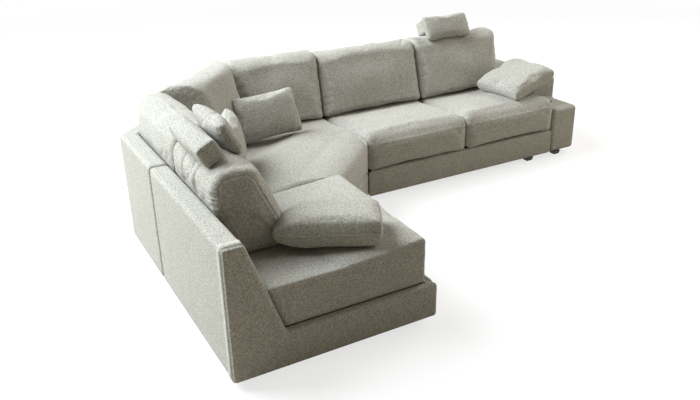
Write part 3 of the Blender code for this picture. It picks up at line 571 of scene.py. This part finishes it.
def stuffed(section, ends, edge, turn, place=(0.0, 0.0), step=0.014, seam_turn=58.0, seam_depth=0.0016,
            bulges=(0.0, 0.0), lines=(), coarse=(), pucker=0.0012, softness=0.0025, seed=1, taper=0.0,
            pressed=(), loose_ends=(False, False), tucks=(), gathers=()):
    """A cover wrapped along an outline, with end panels; ends are (place, lean, mitre) planes.

    The wrap's swell fades towards the ends as one less the square of the share. Seams sink as a narrow
    bell, puckers are waves along the seam that fade with distance from it, and the rest ripples gently.
    Tucks are (place across, depth, width, first u, last u). Gathers are (end, depth, length, first u,
    last u), pleats square to an end seam that fade over a length. Gives the points, the faces, which
    points the filling can't move, and the relief.
    """
    corners, swells, base = section
    half = (ends[1][0] - ends[0][0]) / 2
    rows = cover_rows(half, edge, step, seam_turn, bulges)
    share, inset, scale, bulge, far = rows.T
    u = stations(corners, step, coarse, lines, [gather[3:] for gather in gathers])
    fade = (1.0 - share ** 2)[:, None] * np.array(swells)
    flat = outline(corners, np.repeat(inset[:, None], len(corners), 1), fade, u)
    flat[..., 0] += taper * ((1 + share) / 2)[:, None] * np.clip((flat[..., 0] - CREASE) / 0.3, 0.0, 1.0)
    middle = (flat.max(1, keepdims=True) + flat.min(1, keepdims=True)) / 2
    flat = middle + (flat - middle) * scale[:, None, None]
    planes = [end[0] + end[1] * (flat[..., 1] - base) + end[2] * flat[..., 0] for end in ends]
    across = planes[0] * (1 - share[:, None]) / 2 + planes[1] * (1 + share[:, None]) / 2
    across += np.sign(share)[:, None] * bulge[:, None] * rounding_off(corners, edge, flat)
    grid = np.stack([across, -flat[..., 0], flat[..., 1]], -1)
    run = np.concatenate([[0.0], np.cumsum(np.linalg.norm(np.diff(flat[len(flat) // 2], axis=0), axis=1))])
    wrap = (scale > 0.99)[:, None]
    spread = np.stack([run, 0 * run, 0 * run], -1)
    bell = np.exp(-(far / SEAM_SIDE) ** 2)[:, None]
    pinch = ripples(spread, PUCKER, seed)[None]
    shift = -seam_depth * bell + pucker * pinch * np.exp(-far / PUCKER_REACH)[:, None]
    for line in lines:
        apart = run - np.interp(line, u, run)
        shift = shift - seam_depth * 0.8 * np.exp(-(apart / SEAM_SIDE) ** 2)[None] * wrap
    shift = shift + softness * ripples(grid, SOFT_WAVE, seed + 7) * np.clip(far / 0.1, 0.0, 1.0)[:, None]
    for spot, depth, width, first, last in tucks:
        bell = np.exp(-((grid[..., 0] - spot) / width) ** 2)
        fade = np.clip((u - first) * 8.0, 0.0, 1.0) * np.clip((last - u) * 8.0, 0.0, 1.0)
        shift = shift - depth * bell * fade
    for end, depth, length, first, last in gathers:
        rise = depth * (np.exp(-far / length) - np.exp(-far / 0.008)) * (share * end > 0.0)
        fade = np.clip((u - first) * 4.0, 0.0, 1.0) * np.clip((last - u) * 4.0, 0.0, 1.0)
        shift = shift + rise[:, None] * wrap * ripples(spread, PLEAT, seed + 3) * fade
    hidden = np.isin((u.astype(int) - 1) // 2, coarse + pressed) & (u.astype(int) % 2 == 1)
    shift = np.where(hidden[None], np.minimum(shift, 0.0), shift)
    held = np.repeat(hidden[None], len(grid), 0) | (far < 0.0005)[:, None]
    for side, loose in ((share < 0.0, loose_ends[0]), (share > 0.0, loose_ends[1])):
        if not loose:
            held |= (side & (inset > edge * 0.3))[:, None]
    for line in lines:
        held |= (np.abs(u - line) < 0.0005)[None]
    points, faces = closed_rings(into_plan(grid, turn, place))
    return points, faces, held.ravel(), shift.ravel()


def seat_outline(front, nose, crown, swell):
    """Corners and swells of a seat cushion's side view: rear, bottom, front, crowned top, pressed rear."""
    rear_top = FRAME_TOP + OFF_FRAME + RAKE * (FRAME_HIGH - PRESSED)
    corners = [(rear_top, PRESSED, 0.012), (REAR, FLOOR_OF_SEAT, 0.01), (front, FLOOR_OF_SEAT, 0.012),
               (front, SEAT_TOP, nose), (CREASE, PRESSED, 0.0)]
    return corners, [0.0, 0.0, swell, crown, 0.0], FLOOR_OF_SEAT


FIRM = (4.0, 0.01, 0.010)
NOSE_SEAM = 6.12
FRONT_SEAM = 6.6
long_seat = seat_outline(FRONT, 0.075, 0.018, 0.003)
for number in (1, 2):
    begin = CORNER_END + (number - 1) * SEAT_WIDE
    form = stuffed(
        long_seat, ((begin + GAP, 0.0, 0.0), (begin + SEAT_WIDE - GAP, 0.0, 0.0)), 0.04, 0.0,
        seam_depth=-0.0016, bulges=(-0.006, -0.006), lines=(NOSE_SEAM,), coarse=(0, 1), pressed=(4,),
        seed=10 + number)
    cushion(f"seat_cushion_cover_{number}", f"seat_{number}", f"seat_cushion_{number}", form, FIRM)
left_seat = seat_outline(0.99, 0.022, 0.004, 0.003)
form = stuffed(
    left_seat, ((-2.378, 0.0, 0.0), (-CORNER_END - GAP, 0.0, 0.0)), 0.016, 90.0, seam_turn=62.0,
    seam_depth=0.0025, bulges=(0.005, -0.004), lines=(FRONT_SEAM,), coarse=(0, 1), pressed=(4,), seed=21,
    taper=0.045, pucker=0.0008, tucks=((-2.08, 0.004, 0.012, 6.0, 9.9),))
cushion("left_seat_cushion_cover", "left_seat", "left_seat_cushion", form, FIRM)

# Corner seat: a six-sided foam pad in the same cover, soft along its diagonal front.
ROOT2 = math.sqrt(2.0)
CHAMFER = 0.79
CROWN = 0.018
NOSE_FRONT = 0.095
NOSE_RUN = 0.21
NOSE_SIDE = 0.04
PAD_TOP = 0.445
PAD_FOOT = 0.01
WELT_TURN = 30.0
WELT = 0.0010


def corner_depths(x, y):
    """Distances of plan points from the three back lines."""
    return np.stack([-y, x, (x - y - CHAMFER) / ROOT2])


def crown_rise(x, y):
    """None of the crown under the backs and all of it past them, by a smooth step."""
    rise = np.clip((corner_depths(x, y).min(0) - CREASE - 0.05) / 0.24, 0.0, 1.0)
    return rise * rise * (3.0 - 2.0 * rise)


def corner_pad():
    """Rounded plan outlines stacked up the side and round the nose, then drawn in over the crown.

    The diagonal front has a longer and lower nose, with a raised welt where its turn begins.
    """
    hook = CHAMFER + REAR * (ROOT2 - 1.0)
    edge = CORNER_END - GAP
    plan = [(REAR, -edge), (FRONT, -edge), (edge, -FRONT), (edge, -REAR), (hook, -REAR), (REAR, -hook)]
    corners = [(x, y, 0.03) for x, y in plan]
    u = stations(corners, 0.014, (3, 4, 5))
    noses = np.full(6, NOSE_SIDE)
    noses[1] = NOSE_FRONT
    runs = np.full(6, NOSE_SIDE)
    runs[1] = NOSE_RUN
    swell = np.zeros(6)
    swell[1] = 0.006
    seam, near = math.radians(WELT_TURN), SEAM_SIDE / NOSE_FRONT
    angle = np.linspace(0.0, math.pi / 2, 13)
    angle = angle[np.abs(angle - seam) > 1.5 * near]
    angle = np.sort(np.concatenate([angle, seam + np.array([-near, 0.0, near])]))[:, None]
    rise = np.linspace(0.0, 1.0, 10)[1:, None]
    lowest = FLOOR_OF_SEAT + PAD_FOOT
    turns = np.linspace(0.0, math.pi / 2, 4)[:, None]
    insets = np.concatenate([PAD_FOOT * (1 - np.sin(turns)) + 0 * noses, 0 * rise + 0 * noses,
                             runs * (1 - np.cos(angle))])
    heights = np.concatenate([FLOOR_OF_SEAT + PAD_FOOT * (1 - np.cos(turns)) + 0 * noses,
                              lowest + (PAD_TOP - noses - lowest) * rise,
                              PAD_TOP - noses * (1 - np.sin(angle))])
    swells = np.zeros((len(insets), 6))
    swells[4:13] = swell * np.sin(math.pi * rise * 0.9)
    flat = outline(corners, insets, swells, u)
    whole = u.astype(int)
    side = whole // 2
    share = np.where(whole % 2 == 0, u - whole, 1.0)
    level = heights[:, side - 1] * (1 - share) + heights[:, side] * share
    stack = np.concatenate([flat, level[..., None]], -1)
    centre = np.array(plan).mean(0)
    rim = stack[-1]
    scale = np.linspace(1.0, 0.0, 32)[1:-1]
    inner = np.repeat(rim[None], len(scale), 0)
    inner[..., :2] = centre + (rim[:, :2] - centre) * scale[:, None, None]
    inner[..., 2] += CROWN * (1.0 - scale[:, None] ** 4) * crown_rise(inner[..., 0], inner[..., 1])
    under = np.linspace(0.06, 0.96, 6)
    below = np.repeat(stack[0][None], len(under), 0)
    below[..., :2] = centre + (stack[0][:, :2] - centre) * under[:, None, None]
    rings = np.concatenate([below, stack, inner])
    pressed = (PAD_TOP - PRESSED) / (PAD_TOP - FLOOR_OF_SEAT)
    rise = crown_rise(rings[..., 0], rings[..., 1])
    kept = 1.0 - pressed * (1.0 - rise)
    rings[..., 2] = FLOOR_OF_SEAT + (rings[..., 2] - FLOOR_OF_SEAT) * kept
    relief = np.where(rings[..., 2] > 0.3, 0.002 * ripples(rings, 0.3, 33) * rise, 0.0)
    turned = np.concatenate([np.full(len(below) + 13, 9.0), angle[:, 0], np.full(len(inner), 9.0)])
    fronting = np.where((u >= 2.6) & (u <= 4.4), 1.0, 0.0)
    relief += WELT * np.exp(-((turned[:, None] - seam) / near) ** 2) * fronting
    lower = (np.arange(len(rings)) < len(below) + 20)[:, None]
    held = (rings[..., 2] < 0.215) | (rise < 0.05) | (u < 2.3) | (u > 4.7) & lower
    held |= (np.abs(turned[:, None] - seam) < 0.001) & (fronting > 0.5)
    points, faces = closed_rings(into_plan(rings, 0.0))
    return points, faces, held.ravel(), relief.ravel()


cushion("corner_seat_cover", "corner_seat", "frame", corner_pad(), FIRM)

# Back cushions: fibre-filled wedges that stand on the seats and lean on the frames, upright above them.
# The wrap goes round front, top and rear, and a sewn panel closes each end.
BACK_HIGH = 0.82


def back_outline(high, swell, slope=0.0):
    """Corners and swells of a back cushion's side view.

    The corners are top rear, frame edge, foot rear, foot front and top front.
    """
    rear = FRAME_TOP + OFF_FRAME
    seat = PRESSED + 0.0003
    foot = rear + RAKE * (FRAME_HIGH - seat)
    corners = [(rear + slope, high, 0.08), (rear, FRAME_HIGH, 0.0), (foot, seat, 0.016), (0.49, seat, 0.02),
               (0.298, high, 0.085)]
    return corners, [0.0, 0.0, 0.0, swell, 0.012], seat


plain = back_outline(BACK_HIGH, 0.014)
raised = back_outline(BACK_HIGH + 0.02, 0.014)
PUFF = (4.0, 0.02, 0.016)
BACK_EDGE = 0.036
backs = [("a", raised, (0.847, 0.0), (1.450, 0.12), 31, ("corner_seat",)),
         ("b", plain, (1.454, 0.12), (2.260, 0.12), 32, ("seat_1", "back_a")),
         ("c", plain, (2.264, 0.12), (2.998, 0.18), 33, ("seat_2", "back_b"))]
for name, section, left, right, seed, against in backs:
    form = stuffed(
        section, ((*left, 0.0), (*right, 0.0)), BACK_EDGE, 0.0, bulges=(-0.006, -0.006), coarse=(1, 2),
        seed=seed, softness=0.004, pucker=0.0022, loose_ends=(False, name == "c"))
    cushion(f"back_cushion_cover_{name}", f"back_{name}", f"back_cushion_{name}", form, PUFF, against)
MITRE = 0.8
mitre_back = 0.35 * (1.0 - MITRE)
spans = [(end - 0.002 - CHAMFER / 2) * ROOT2 - mitre_back for end in (0.88, 0.845)]
form = stuffed(
    back_outline(BACK_HIGH + 0.045, 0.006), ((-spans[0], 0.30 * ROOT2, MITRE), (spans[1], 0.0, -MITRE)),
    BACK_EDGE, 45.0, (CHAMFER / 2, -CHAMFER / 2), bulges=(-0.006, -0.006), coarse=(1, 2), seed=34,
    softness=0.004, pucker=0.002)
cushion("corner_back_cushion_cover", "back_corner", "corner_back_cushion", form, PUFF,
        ("corner_seat", "back_a"))
form = stuffed(
    back_outline(BACK_HIGH + 0.05, 0.014, 0.042), ((-CORNER_END + GAP, 0.0, 0.0), (-0.882, 0.30, 0.0)),
    BACK_EDGE, 90.0, bulges=(-0.006, -0.006), coarse=(1, 2), seed=36, softness=0.004, pucker=0.002)
cushion("far_back_cushion_cover", "back_left_far", "far_back_cushion", form, PUFF,
        ("corner_seat", "back_corner"))
form = stuffed(
    raised, ((-2.066, 0.0, 0.0), (-CORNER_END - GAP, 0.0, 0.0)), 0.05, 90.0, step=0.011, seam_turn=66.0,
    seam_depth=0.004, bulges=(0.012, -0.006), coarse=(1, 2), seed=35, softness=0.004, pucker=0.0015,
    tucks=((-1.66, 0.010, 0.010, 0.0, 2.1), (-1.84, 0.010, 0.010, 0.0, 2.1)),
    gathers=((-1, 0.0055, 0.12, 0.2, 2.0),))
cushion("near_back_cushion_cover", "back_left_near", "near_back_cushion", form, PUFF,
        ("left_seat", "back_left_far"))

# Headrest blocks: firm boxed pads that ride on a back cushion's crest and carry the pillow in front.
BLOCK_WIDE = 0.42
BLOCK_TALL = 0.105
BLOCK_THICK = 0.10
BLOCK_RAKE = math.radians(27.0)


def centred_on(points, node):
    """Moves points so that their box has the same middle as a solid's box."""
    low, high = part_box(node)
    middle = (np.array(low) + np.array(high)) / 2
    return points + middle - (points.min(0) + points.max(0)) / 2


rests = (("left", "headrest_on_left", 90.0, 41, "back_left_near"),
         ("right", "headrest_on_right", 0.0, 42, "back_c"))
for side, body, turn, seed, carrier in rests:
    corners = []
    for across, up in ((-0.5, 1.0), (-0.5, 0.0), (0.5, 0.0), (0.5, 1.0)):
        thick, tall = across * BLOCK_THICK, up * BLOCK_TALL
        corners.append((thick * math.cos(BLOCK_RAKE) - tall * math.sin(BLOCK_RAKE),
                        thick * math.sin(BLOCK_RAKE) + tall * math.cos(BLOCK_RAKE), 0.018))
    points, *rest = stuffed(
        (corners, [0.002] * 4, 0.0), ((-BLOCK_WIDE / 2, 0.0, 0.0), (BLOCK_WIDE / 2, 0.0, 0.0)), 0.012, turn,
        step=0.008, seam_turn=70.0, seam_depth=0.003, bulges=(0.004, 0.004), seed=seed, softness=0.001,
        pucker=0.0014)
    node = f"headrest_weight_{side}"
    cushion(f"headrest_block_cover_{side}", node, body, (centred_on(points, node), *rest),
            (4.0, 0.0, 0.004), (carrier,))

# Pillows: two panels sewn edge to edge and blown up by their filling, so that the edges draw in between
# the corners and gather. The headrest pillows and the loose ones are made alike.


def pillow_form(width, length, thick, draw, cell, power, square, blunt, gather, tuck, seed):
    """Two crowned grids that share their rim: height is a power of one less a power of each share.

    Both shares shrink a little towards a corner, which rounds it, and a tuck presses one corner in and
    thins the pillow towards it. Gathers are ripples along the rim that fade within a few centimetres of it.
    Gives the points, the faces, the relief, and the rim's points in order.
    """
    counts = [round(span / cell) for span in (width, length)]
    across, along = (np.sin(np.linspace(-math.pi / 2, math.pi / 2, count + 1)) * 0.3
                     + np.linspace(-1.0, 1.0, count + 1) * 0.7 for count in counts)
    s, t = np.meshgrid(across, along, indexing="ij")
    crown = ((1 - np.abs(s) ** square) * (1 - np.abs(t) ** square)) ** power
    crown *= 1 - 0.6 * tuck * np.clip((-s - 0.3) / 0.7, 0, 1) ** 2
    corner = 1 - blunt * (s * t) ** 4
    pressed = tuck * np.clip(-s, 0, 1) ** 2 * (t > 0)
    x = width / 2 * s * (1 - draw * s ** 2 * (1 - t ** 2)) * corner
    y = length / 2 * t * (1 - draw * t ** 2 * (1 - s ** 2)) * corner * (1 - pressed)
    top = np.stack([x, y, thick / 2 * crown], -1)
    under = np.stack([x, y, -thick / 2 * crown], -1)
    rim = np.zeros(s.shape, bool)
    rim[[0, -1]] = True
    rim[:, [0, -1]] = True
    off_s, off_t = (1 - np.abs(s)) * width / 2, (1 - np.abs(t)) * length / 2
    waves = 0.0
    for off, line, other in ((off_s, t * length / 2, s), (off_t, s * width / 2, t)):
        spot = np.stack([line, np.sign(other) * 0.3, 0 * line], -1)
        waves = waves + ripples(spot, 0.026, seed) * (np.exp(-off / 0.035) - np.exp(-off / 0.006))
    slow = ripples(np.stack([x, y, 0 * x], -1), 0.16, seed + 5)
    slow = slow * np.clip(np.minimum(off_s, off_t) / 0.05, 0, 1)
    fold = gather * waves + 0.25 * gather * slow
    relief = np.where(rim, -0.0012, fold)
    upper = np.arange(s.size).reshape(s.shape)
    lower = upper.copy()
    lower[~rim] = s.size + np.arange((~rim).sum())
    points = np.concatenate([top.reshape(-1, 3), under[~rim]])
    quads = [np.stack([grid[:-1, :-1], grid[1:, :-1], grid[1:, 1:], grid[:-1, 1:]], -1).reshape(-1, 4)
             for grid in (upper, lower)]
    faces = np.concatenate([quads[0], quads[1][:, ::-1]])
    around = np.concatenate([upper[0, :-1], upper[:-1, -1], upper[-1, :0:-1], upper[:0:-1, 0]])
    return points, faces.tolist(), np.concatenate([relief.ravel(), -0.6 * fold[~rim]]), around


def turned_by(points, turns):
    """Turns points by three angles in degrees, about x, then y, then z."""
    spin = Matrix.Identity(3)
    for angle, axis in zip(turns, "XYZ"):
        spin = Matrix.Rotation(math.radians(angle), 3, axis) @ spin
    return points @ np.array(spin).T


HEADREST = (0.405, 0.192, 0.085)
PILLOW_PRESSURE = 3.0
PILLOW_SLACK = 0.01
CELL = 0.0085
# Node, body, what it rests against, size, draw, power, square, blunt, gather, turns, tuck, cap and shift.
pillows = [
    ("headrest_pillow_left", "headrest_on_left", ("headrest_weight_left", "back_left_near"),
     HEADREST, 0.02, 0.45, 3.2, 0.10, 0.005, (60.0, 0.0, 90.0), 0.0, 0.010, (0.0, 0.0, 0.0)),
    ("headrest_pillow_right", "headrest_on_right", ("headrest_weight_right", "back_c"),
     HEADREST, 0.02, 0.45, 3.2, 0.06, 0.003, (60.0, 0.0, 0.0), 0.0, 0.010, (0.0, 0.0, 0.0)),
    ("throw_pillow_corner", "corner_throw", ("corner_seat", "back_a", "back_corner"),
     (0.455, 0.318, 0.12), 0.06, 0.5, 2.8, 0.09, 0.005, (64.0, -4.0, -2.0), 0.0, 0.012,
     (-0.004, 0.0, 0.002)),
    ("throw_pillow_side", "side_throw", ("corner_seat", "back_left_far", "back_corner"),
     (0.445, 0.315, 0.115), 0.04, 0.5, 2.8, 0.06, 0.003, (80.0, 0.0, 68.0), 0.0, 0.010, (0.0, 0.0, 0.0)),
    ("throw_pillow_left_seat", "lying_throw", ("left_seat", "back_left_near"),
     (0.505, 0.27, 0.150), 0.0, 0.2, 6.0, 0.05, 0.002, (0.0, 0.0, -28.0), 0.9, 0.006,
     (-0.015, 0.035, -0.004)),
    ("throw_pillow_arm", "arm_throw", ("seat_2", "back_c"),
     (0.45, 0.43, 0.12), 0.02, 0.3, 4.0, 0.06, 0.002, (2.0, -16.0, 7.0), 0.0, 0.012, (0.0, 0.0, 0.0))]
rims = {}
for number, row in enumerate(pillows):
    node, body, against, size, draw, power, square, blunt, gather, turns, tuck, cap, shift = row
    points, faces, relief, rim = pillow_form(*size, draw, CELL, power, square, blunt, gather, tuck,
                                             50 + number)
    points = centred_on(turned_by(points, turns), node) + np.array(shift)
    cushion(f"{node}_cover", node, body, (points, faces, np.zeros(len(points), bool), relief),
            (PILLOW_PRESSURE, PILLOW_SLACK, cap), against)
    rims[node] = body, rim

# Filling: all the covers are blown up at once, pressed clear of what they rest against, and smoothed.


def places(thing):
    """The points of a mesh as an array."""
    spots = np.empty(len(thing.vertices) * 3)
    thing.vertices.foreach_get("co", spots)
    return spots.reshape(-1, 3)


def finished(piece):
    """The points of a piece behind its modifiers."""
    return places(piece.evaluated_get(bpy.context.evaluated_depsgraph_get()).data)


def move_to(piece, spots):
    """Puts a piece's points at new places."""
    piece.data.vertices.foreach_set("co", spots.ravel())
    piece.data.update()


NEAR = 0.006
CLEARANCE = 0.002
for moment in range(1, FILL_TIME + 1):
    bpy.context.scene.frame_set(moment)
blown = [finished(job[0]) for job in waiting]
for (piece, relief, cap, against), spots in zip(waiting, blown):
    start = places(piece.data)
    shift = spots - start
    length = np.maximum(np.linalg.norm(shift, axis=1, keepdims=True), 1e-9)
    piece.data.vertices.foreach_set("co", (start + shift * np.minimum(1.0, cap / length)).ravel())
    piece.modifiers.clear()
    piece.vertex_groups.clear()
    for number, other in enumerate(against):
        start, bulk = places(piece.data), places(other.data)
        near = ((start > bulk.min(0) - NEAR) & (start < bulk.max(0) + NEAR)).all(1)
        if not near.any():
            continue
        group = grouped(piece, f"near_{number}", near)
        press = piece.modifiers.new("press", "SHRINKWRAP")
        press.vertex_group = group.name
        press.target = other
        press.wrap_method = "NEAREST_SURFACEPOINT"
        press.wrap_mode = "OUTSIDE"
        press.offset = CLEARANCE
    piece.data.update()
    spots = finished(piece)
    piece.modifiers.clear()
    piece.vertex_groups.clear()
    move_to(piece, spots)
    normals = np.empty(len(spots) * 3)
    piece.data.vertex_normals.foreach_get("vector", normals)
    move_to(piece, spots + normals.reshape(-1, 3) * relief[:, None])
    rounding = piece.modifiers.new("smooth", "SUBSURF")
    rounding.levels = 1
    rounding.render_levels = 1

# Piping: a thin covered cord sewn in between the two panels of each pillow, all the way round.
CORD = 0.0021
CORD_SIDES = 8


def cord_along(name, body, line, outward, closed):
    """A round cord along a line of points: circles square to the line, from the outward side round."""
    if closed:
        heading = np.roll(line, -1, 0) - np.roll(line, 1, 0)
    else:
        heading = np.gradient(line, axis=0)
    heading /= np.linalg.norm(heading, axis=1, keepdims=True)
    side = outward - (outward * heading).sum(1, keepdims=True) * heading
    side /= np.linalg.norm(side, axis=1, keepdims=True)
    other = np.cross(heading, side)
    angle = np.arange(CORD_SIDES) / CORD_SIDES * math.tau
    ring = side[:, None] * np.cos(angle)[:, None] + other[:, None] * np.sin(angle)[:, None]
    ring = line[:, None] + CORD * ring
    if closed:
        spot, step = np.meshgrid(np.arange(len(line)), np.arange(CORD_SIDES), indexing="ij")
        ahead, after = (spot + 1) % len(line), (step + 1) % CORD_SIDES
        points = ring.reshape(-1, 3)
        faces = np.stack([spot * CORD_SIDES + step, spot * CORD_SIDES + after, ahead * CORD_SIDES + after,
                          ahead * CORD_SIDES + step], -1).reshape(-1, 4).tolist()
    else:
        points, faces = closed_rings(ring)
    added(cover(name, points, faces), body)


for node, (body, rim) in rims.items():
    surface = finished(covers[node])
    line = surface[rim]
    line = (np.roll(line, 1, 0) + 2.0 * line + np.roll(line, -1, 0)) / 4.0
    cord_along(f"{node}_piping", body, line, line - surface.mean(0), True)

# Seam across the near back cushion's end panel, where its lower part is pieced on, with a thin cord.
PIECED_AT = 0.50
PIECED_FROM, PIECED_OVER = -1.505, 0.29
IN_FRONT_OF_END, LAST_OF_END = -1.0, -0.8
bpy.context.view_layer.update()
line = []
for share in np.linspace(0.0, 1.0, 31):
    start = (PIECED_FROM + PIECED_OVER * share, IN_FRONT_OF_END, PIECED_AT)
    hit, spot, _, _ = covers["back_left_near"].ray_cast(start, (0.0, 1.0, 0.0))
    if hit and spot.y < LAST_OF_END:
        line.append(spot)
line = np.array(line)
cord_along("end_panel_seam", "near_back_cushion", line, np.tile([0.0, -1.0, 0.0], (len(line), 1)), False)

# Room: a pale floor and white surround, a broad window light from the left and a weaker one from the right.
FLOOR_WHITE = (0.88, 0.88, 0.875, 1.0)
FLOOR_DUSK = (0.45, 0.41, 0.34, 1.0)
FLOOR_REACH = 30.0
UNDER_FEET = -0.0005
LEAST_GLOW = 0.72
GLOW_FROM, GLOW_OVER = 3.0, 6.0


def pale_floor():
    """Matt pale floor that the camera sees mostly as white, so that only the shadow shows.

    Its bounce on the sofa is that of a duller, warmer floor, as in a furnished room. Its own glow grows
    with the distance from the sofa.
    """
    material, shader, place, _ = blank_finish("pale_floor", 0.9, 0.1)
    mottle = place.add("TexNoise", {}, {"Vector": place, "Scale": 3.0})
    tree = material.node_tree
    ray = tree.nodes.new("ShaderNodeLightPath")
    camera, glossy, through = (Tone(tree, ray.outputs[f"Is {kind} Ray"])
                               for kind in ("Camera", "Glossy", "Transmission"))
    direct = camera.maths("MAXIMUM", camera.maths("MAXIMUM", camera, glossy), through)
    white = blended(mottle, FLOOR_WHITE, (0.90, 0.90, 0.895, 1.0))
    feed(shader, Base_Color=blended(direct, FLOOR_DUSK, white))
    x, y, _ = parted(place)
    far = ((x * x + y * y) ** 0.5 - GLOW_FROM) / GLOW_OVER
    far = far.add("Clamp", {}, {"Value": far, "Min": 0.0, "Max": 1.0})
    share = direct * (far * (1.0 - LEAST_GLOW) + LEAST_GLOW)
    glow = tree.nodes.new("ShaderNodeEmission")
    glow.inputs["Color"].default_value = (1.0, 1.0, 1.0, 1.0)
    mixed = share.add("MixShader", {}, {0: share, 1: Tone(tree, shader.outputs[0]),
                                        2: Tone(tree, glow.outputs[0])})
    tree.links.new(mixed.socket, tree.nodes["Material Output"].inputs["Surface"])
    return material


mesh = bpy.data.meshes.new("floor")
square = ((-1, -1), (1, -1), (1, 1), (-1, 1))
mesh.from_pydata([(x * FLOOR_REACH, y * FLOOR_REACH, UNDER_FEET) for x, y in square], [], [(0, 1, 2, 3)])
mesh.materials.append(pale_floor())
placed("floor", mesh)

world = bpy.data.worlds.new("surround")
bpy.context.scene.world = world
world.use_nodes = True
air = world.node_tree
ambient = air.nodes["Background"]
ambient.inputs["Color"].default_value = (1.0, 0.90, 0.72, 1.0)
ambient.inputs["Strength"].default_value = 0.205
bright = air.nodes.new("ShaderNodeBackground")
bright.inputs["Color"].default_value = (1.0, 1.0, 1.0, 1.0)
ray = air.nodes.new("ShaderNodeLightPath")
seen = Tone(air, ray.outputs["Is Camera Ray"])
picked = seen.add("MixShader", {}, {0: seen, 1: Tone(air, ambient.outputs[0]),
                                    2: Tone(air, bright.outputs[0])})
air.links.new(picked.socket, air.nodes["World Output"].inputs["Surface"])


LIT_SPOT = Vector((0.0, 0.0, 0.4))


def window(name, way, reach, size, strength, colour):
    """An area light at a distance along a direction, turned to the sofa."""
    lamp = bpy.data.lights.new(name, "AREA")
    lamp.shape = "SQUARE"
    lamp.size = size
    lamp.energy = strength
    lamp.color = colour
    holder = placed(name, lamp)
    way = Vector(way).normalized()
    holder.location = way * reach + LIT_SPOT
    holder.rotation_euler = way.to_track_quat("Z", "Y").to_euler()


window("window_light", (-0.62, 0.43, 0.66), 7.0, 5.5, 1330.0, (0.89, 0.955, 1.0))
window("fill_light", (0.85, 0.10, 0.50), 7.0, 4.0, 330.0, (1.0, 0.97, 0.93))
window("side_light", (0.75, -0.55, 0.4), 4.2, 2.0, 26.0, (1.0, 0.96, 0.90))

# Camera: the photograph's viewpoint, found from the straight edges of the bases and frames.
MODULE = 1.04
STAND = (-0.7568, -4.6831, 1.9443)
FOCAL_SHARE = 743.07 / 700.0
YAW, PITCH, ROLL = (math.radians(angle) for angle in (-28.912, -24.2908, -1.1154))
lens = bpy.data.cameras.new("camera")
camera = placed("camera", lens)
ahead = Vector((-math.sin(YAW) * math.cos(PITCH), math.cos(YAW) * math.cos(PITCH), math.sin(PITCH)))
right = ahead.cross(Vector((0.0, 0.0, 1.0))).normalized()
above = right.cross(ahead)
level = right * math.cos(ROLL) + above * math.sin(ROLL)
upward = above * math.cos(ROLL) - right * math.sin(ROLL)
stand = Matrix((level, upward, -ahead)).transposed().to_4x4()
stand.translation = Vector(STAND) * MODULE + Vector((PLAN_X, PLAN_Y, 0.0))
camera.matrix_world = stand
lens.lens = FOCAL_SHARE * lens.sensor_width
bpy.context.scene.camera = camera
bpy.context.scene.view_settings.view_transform = "Standard"
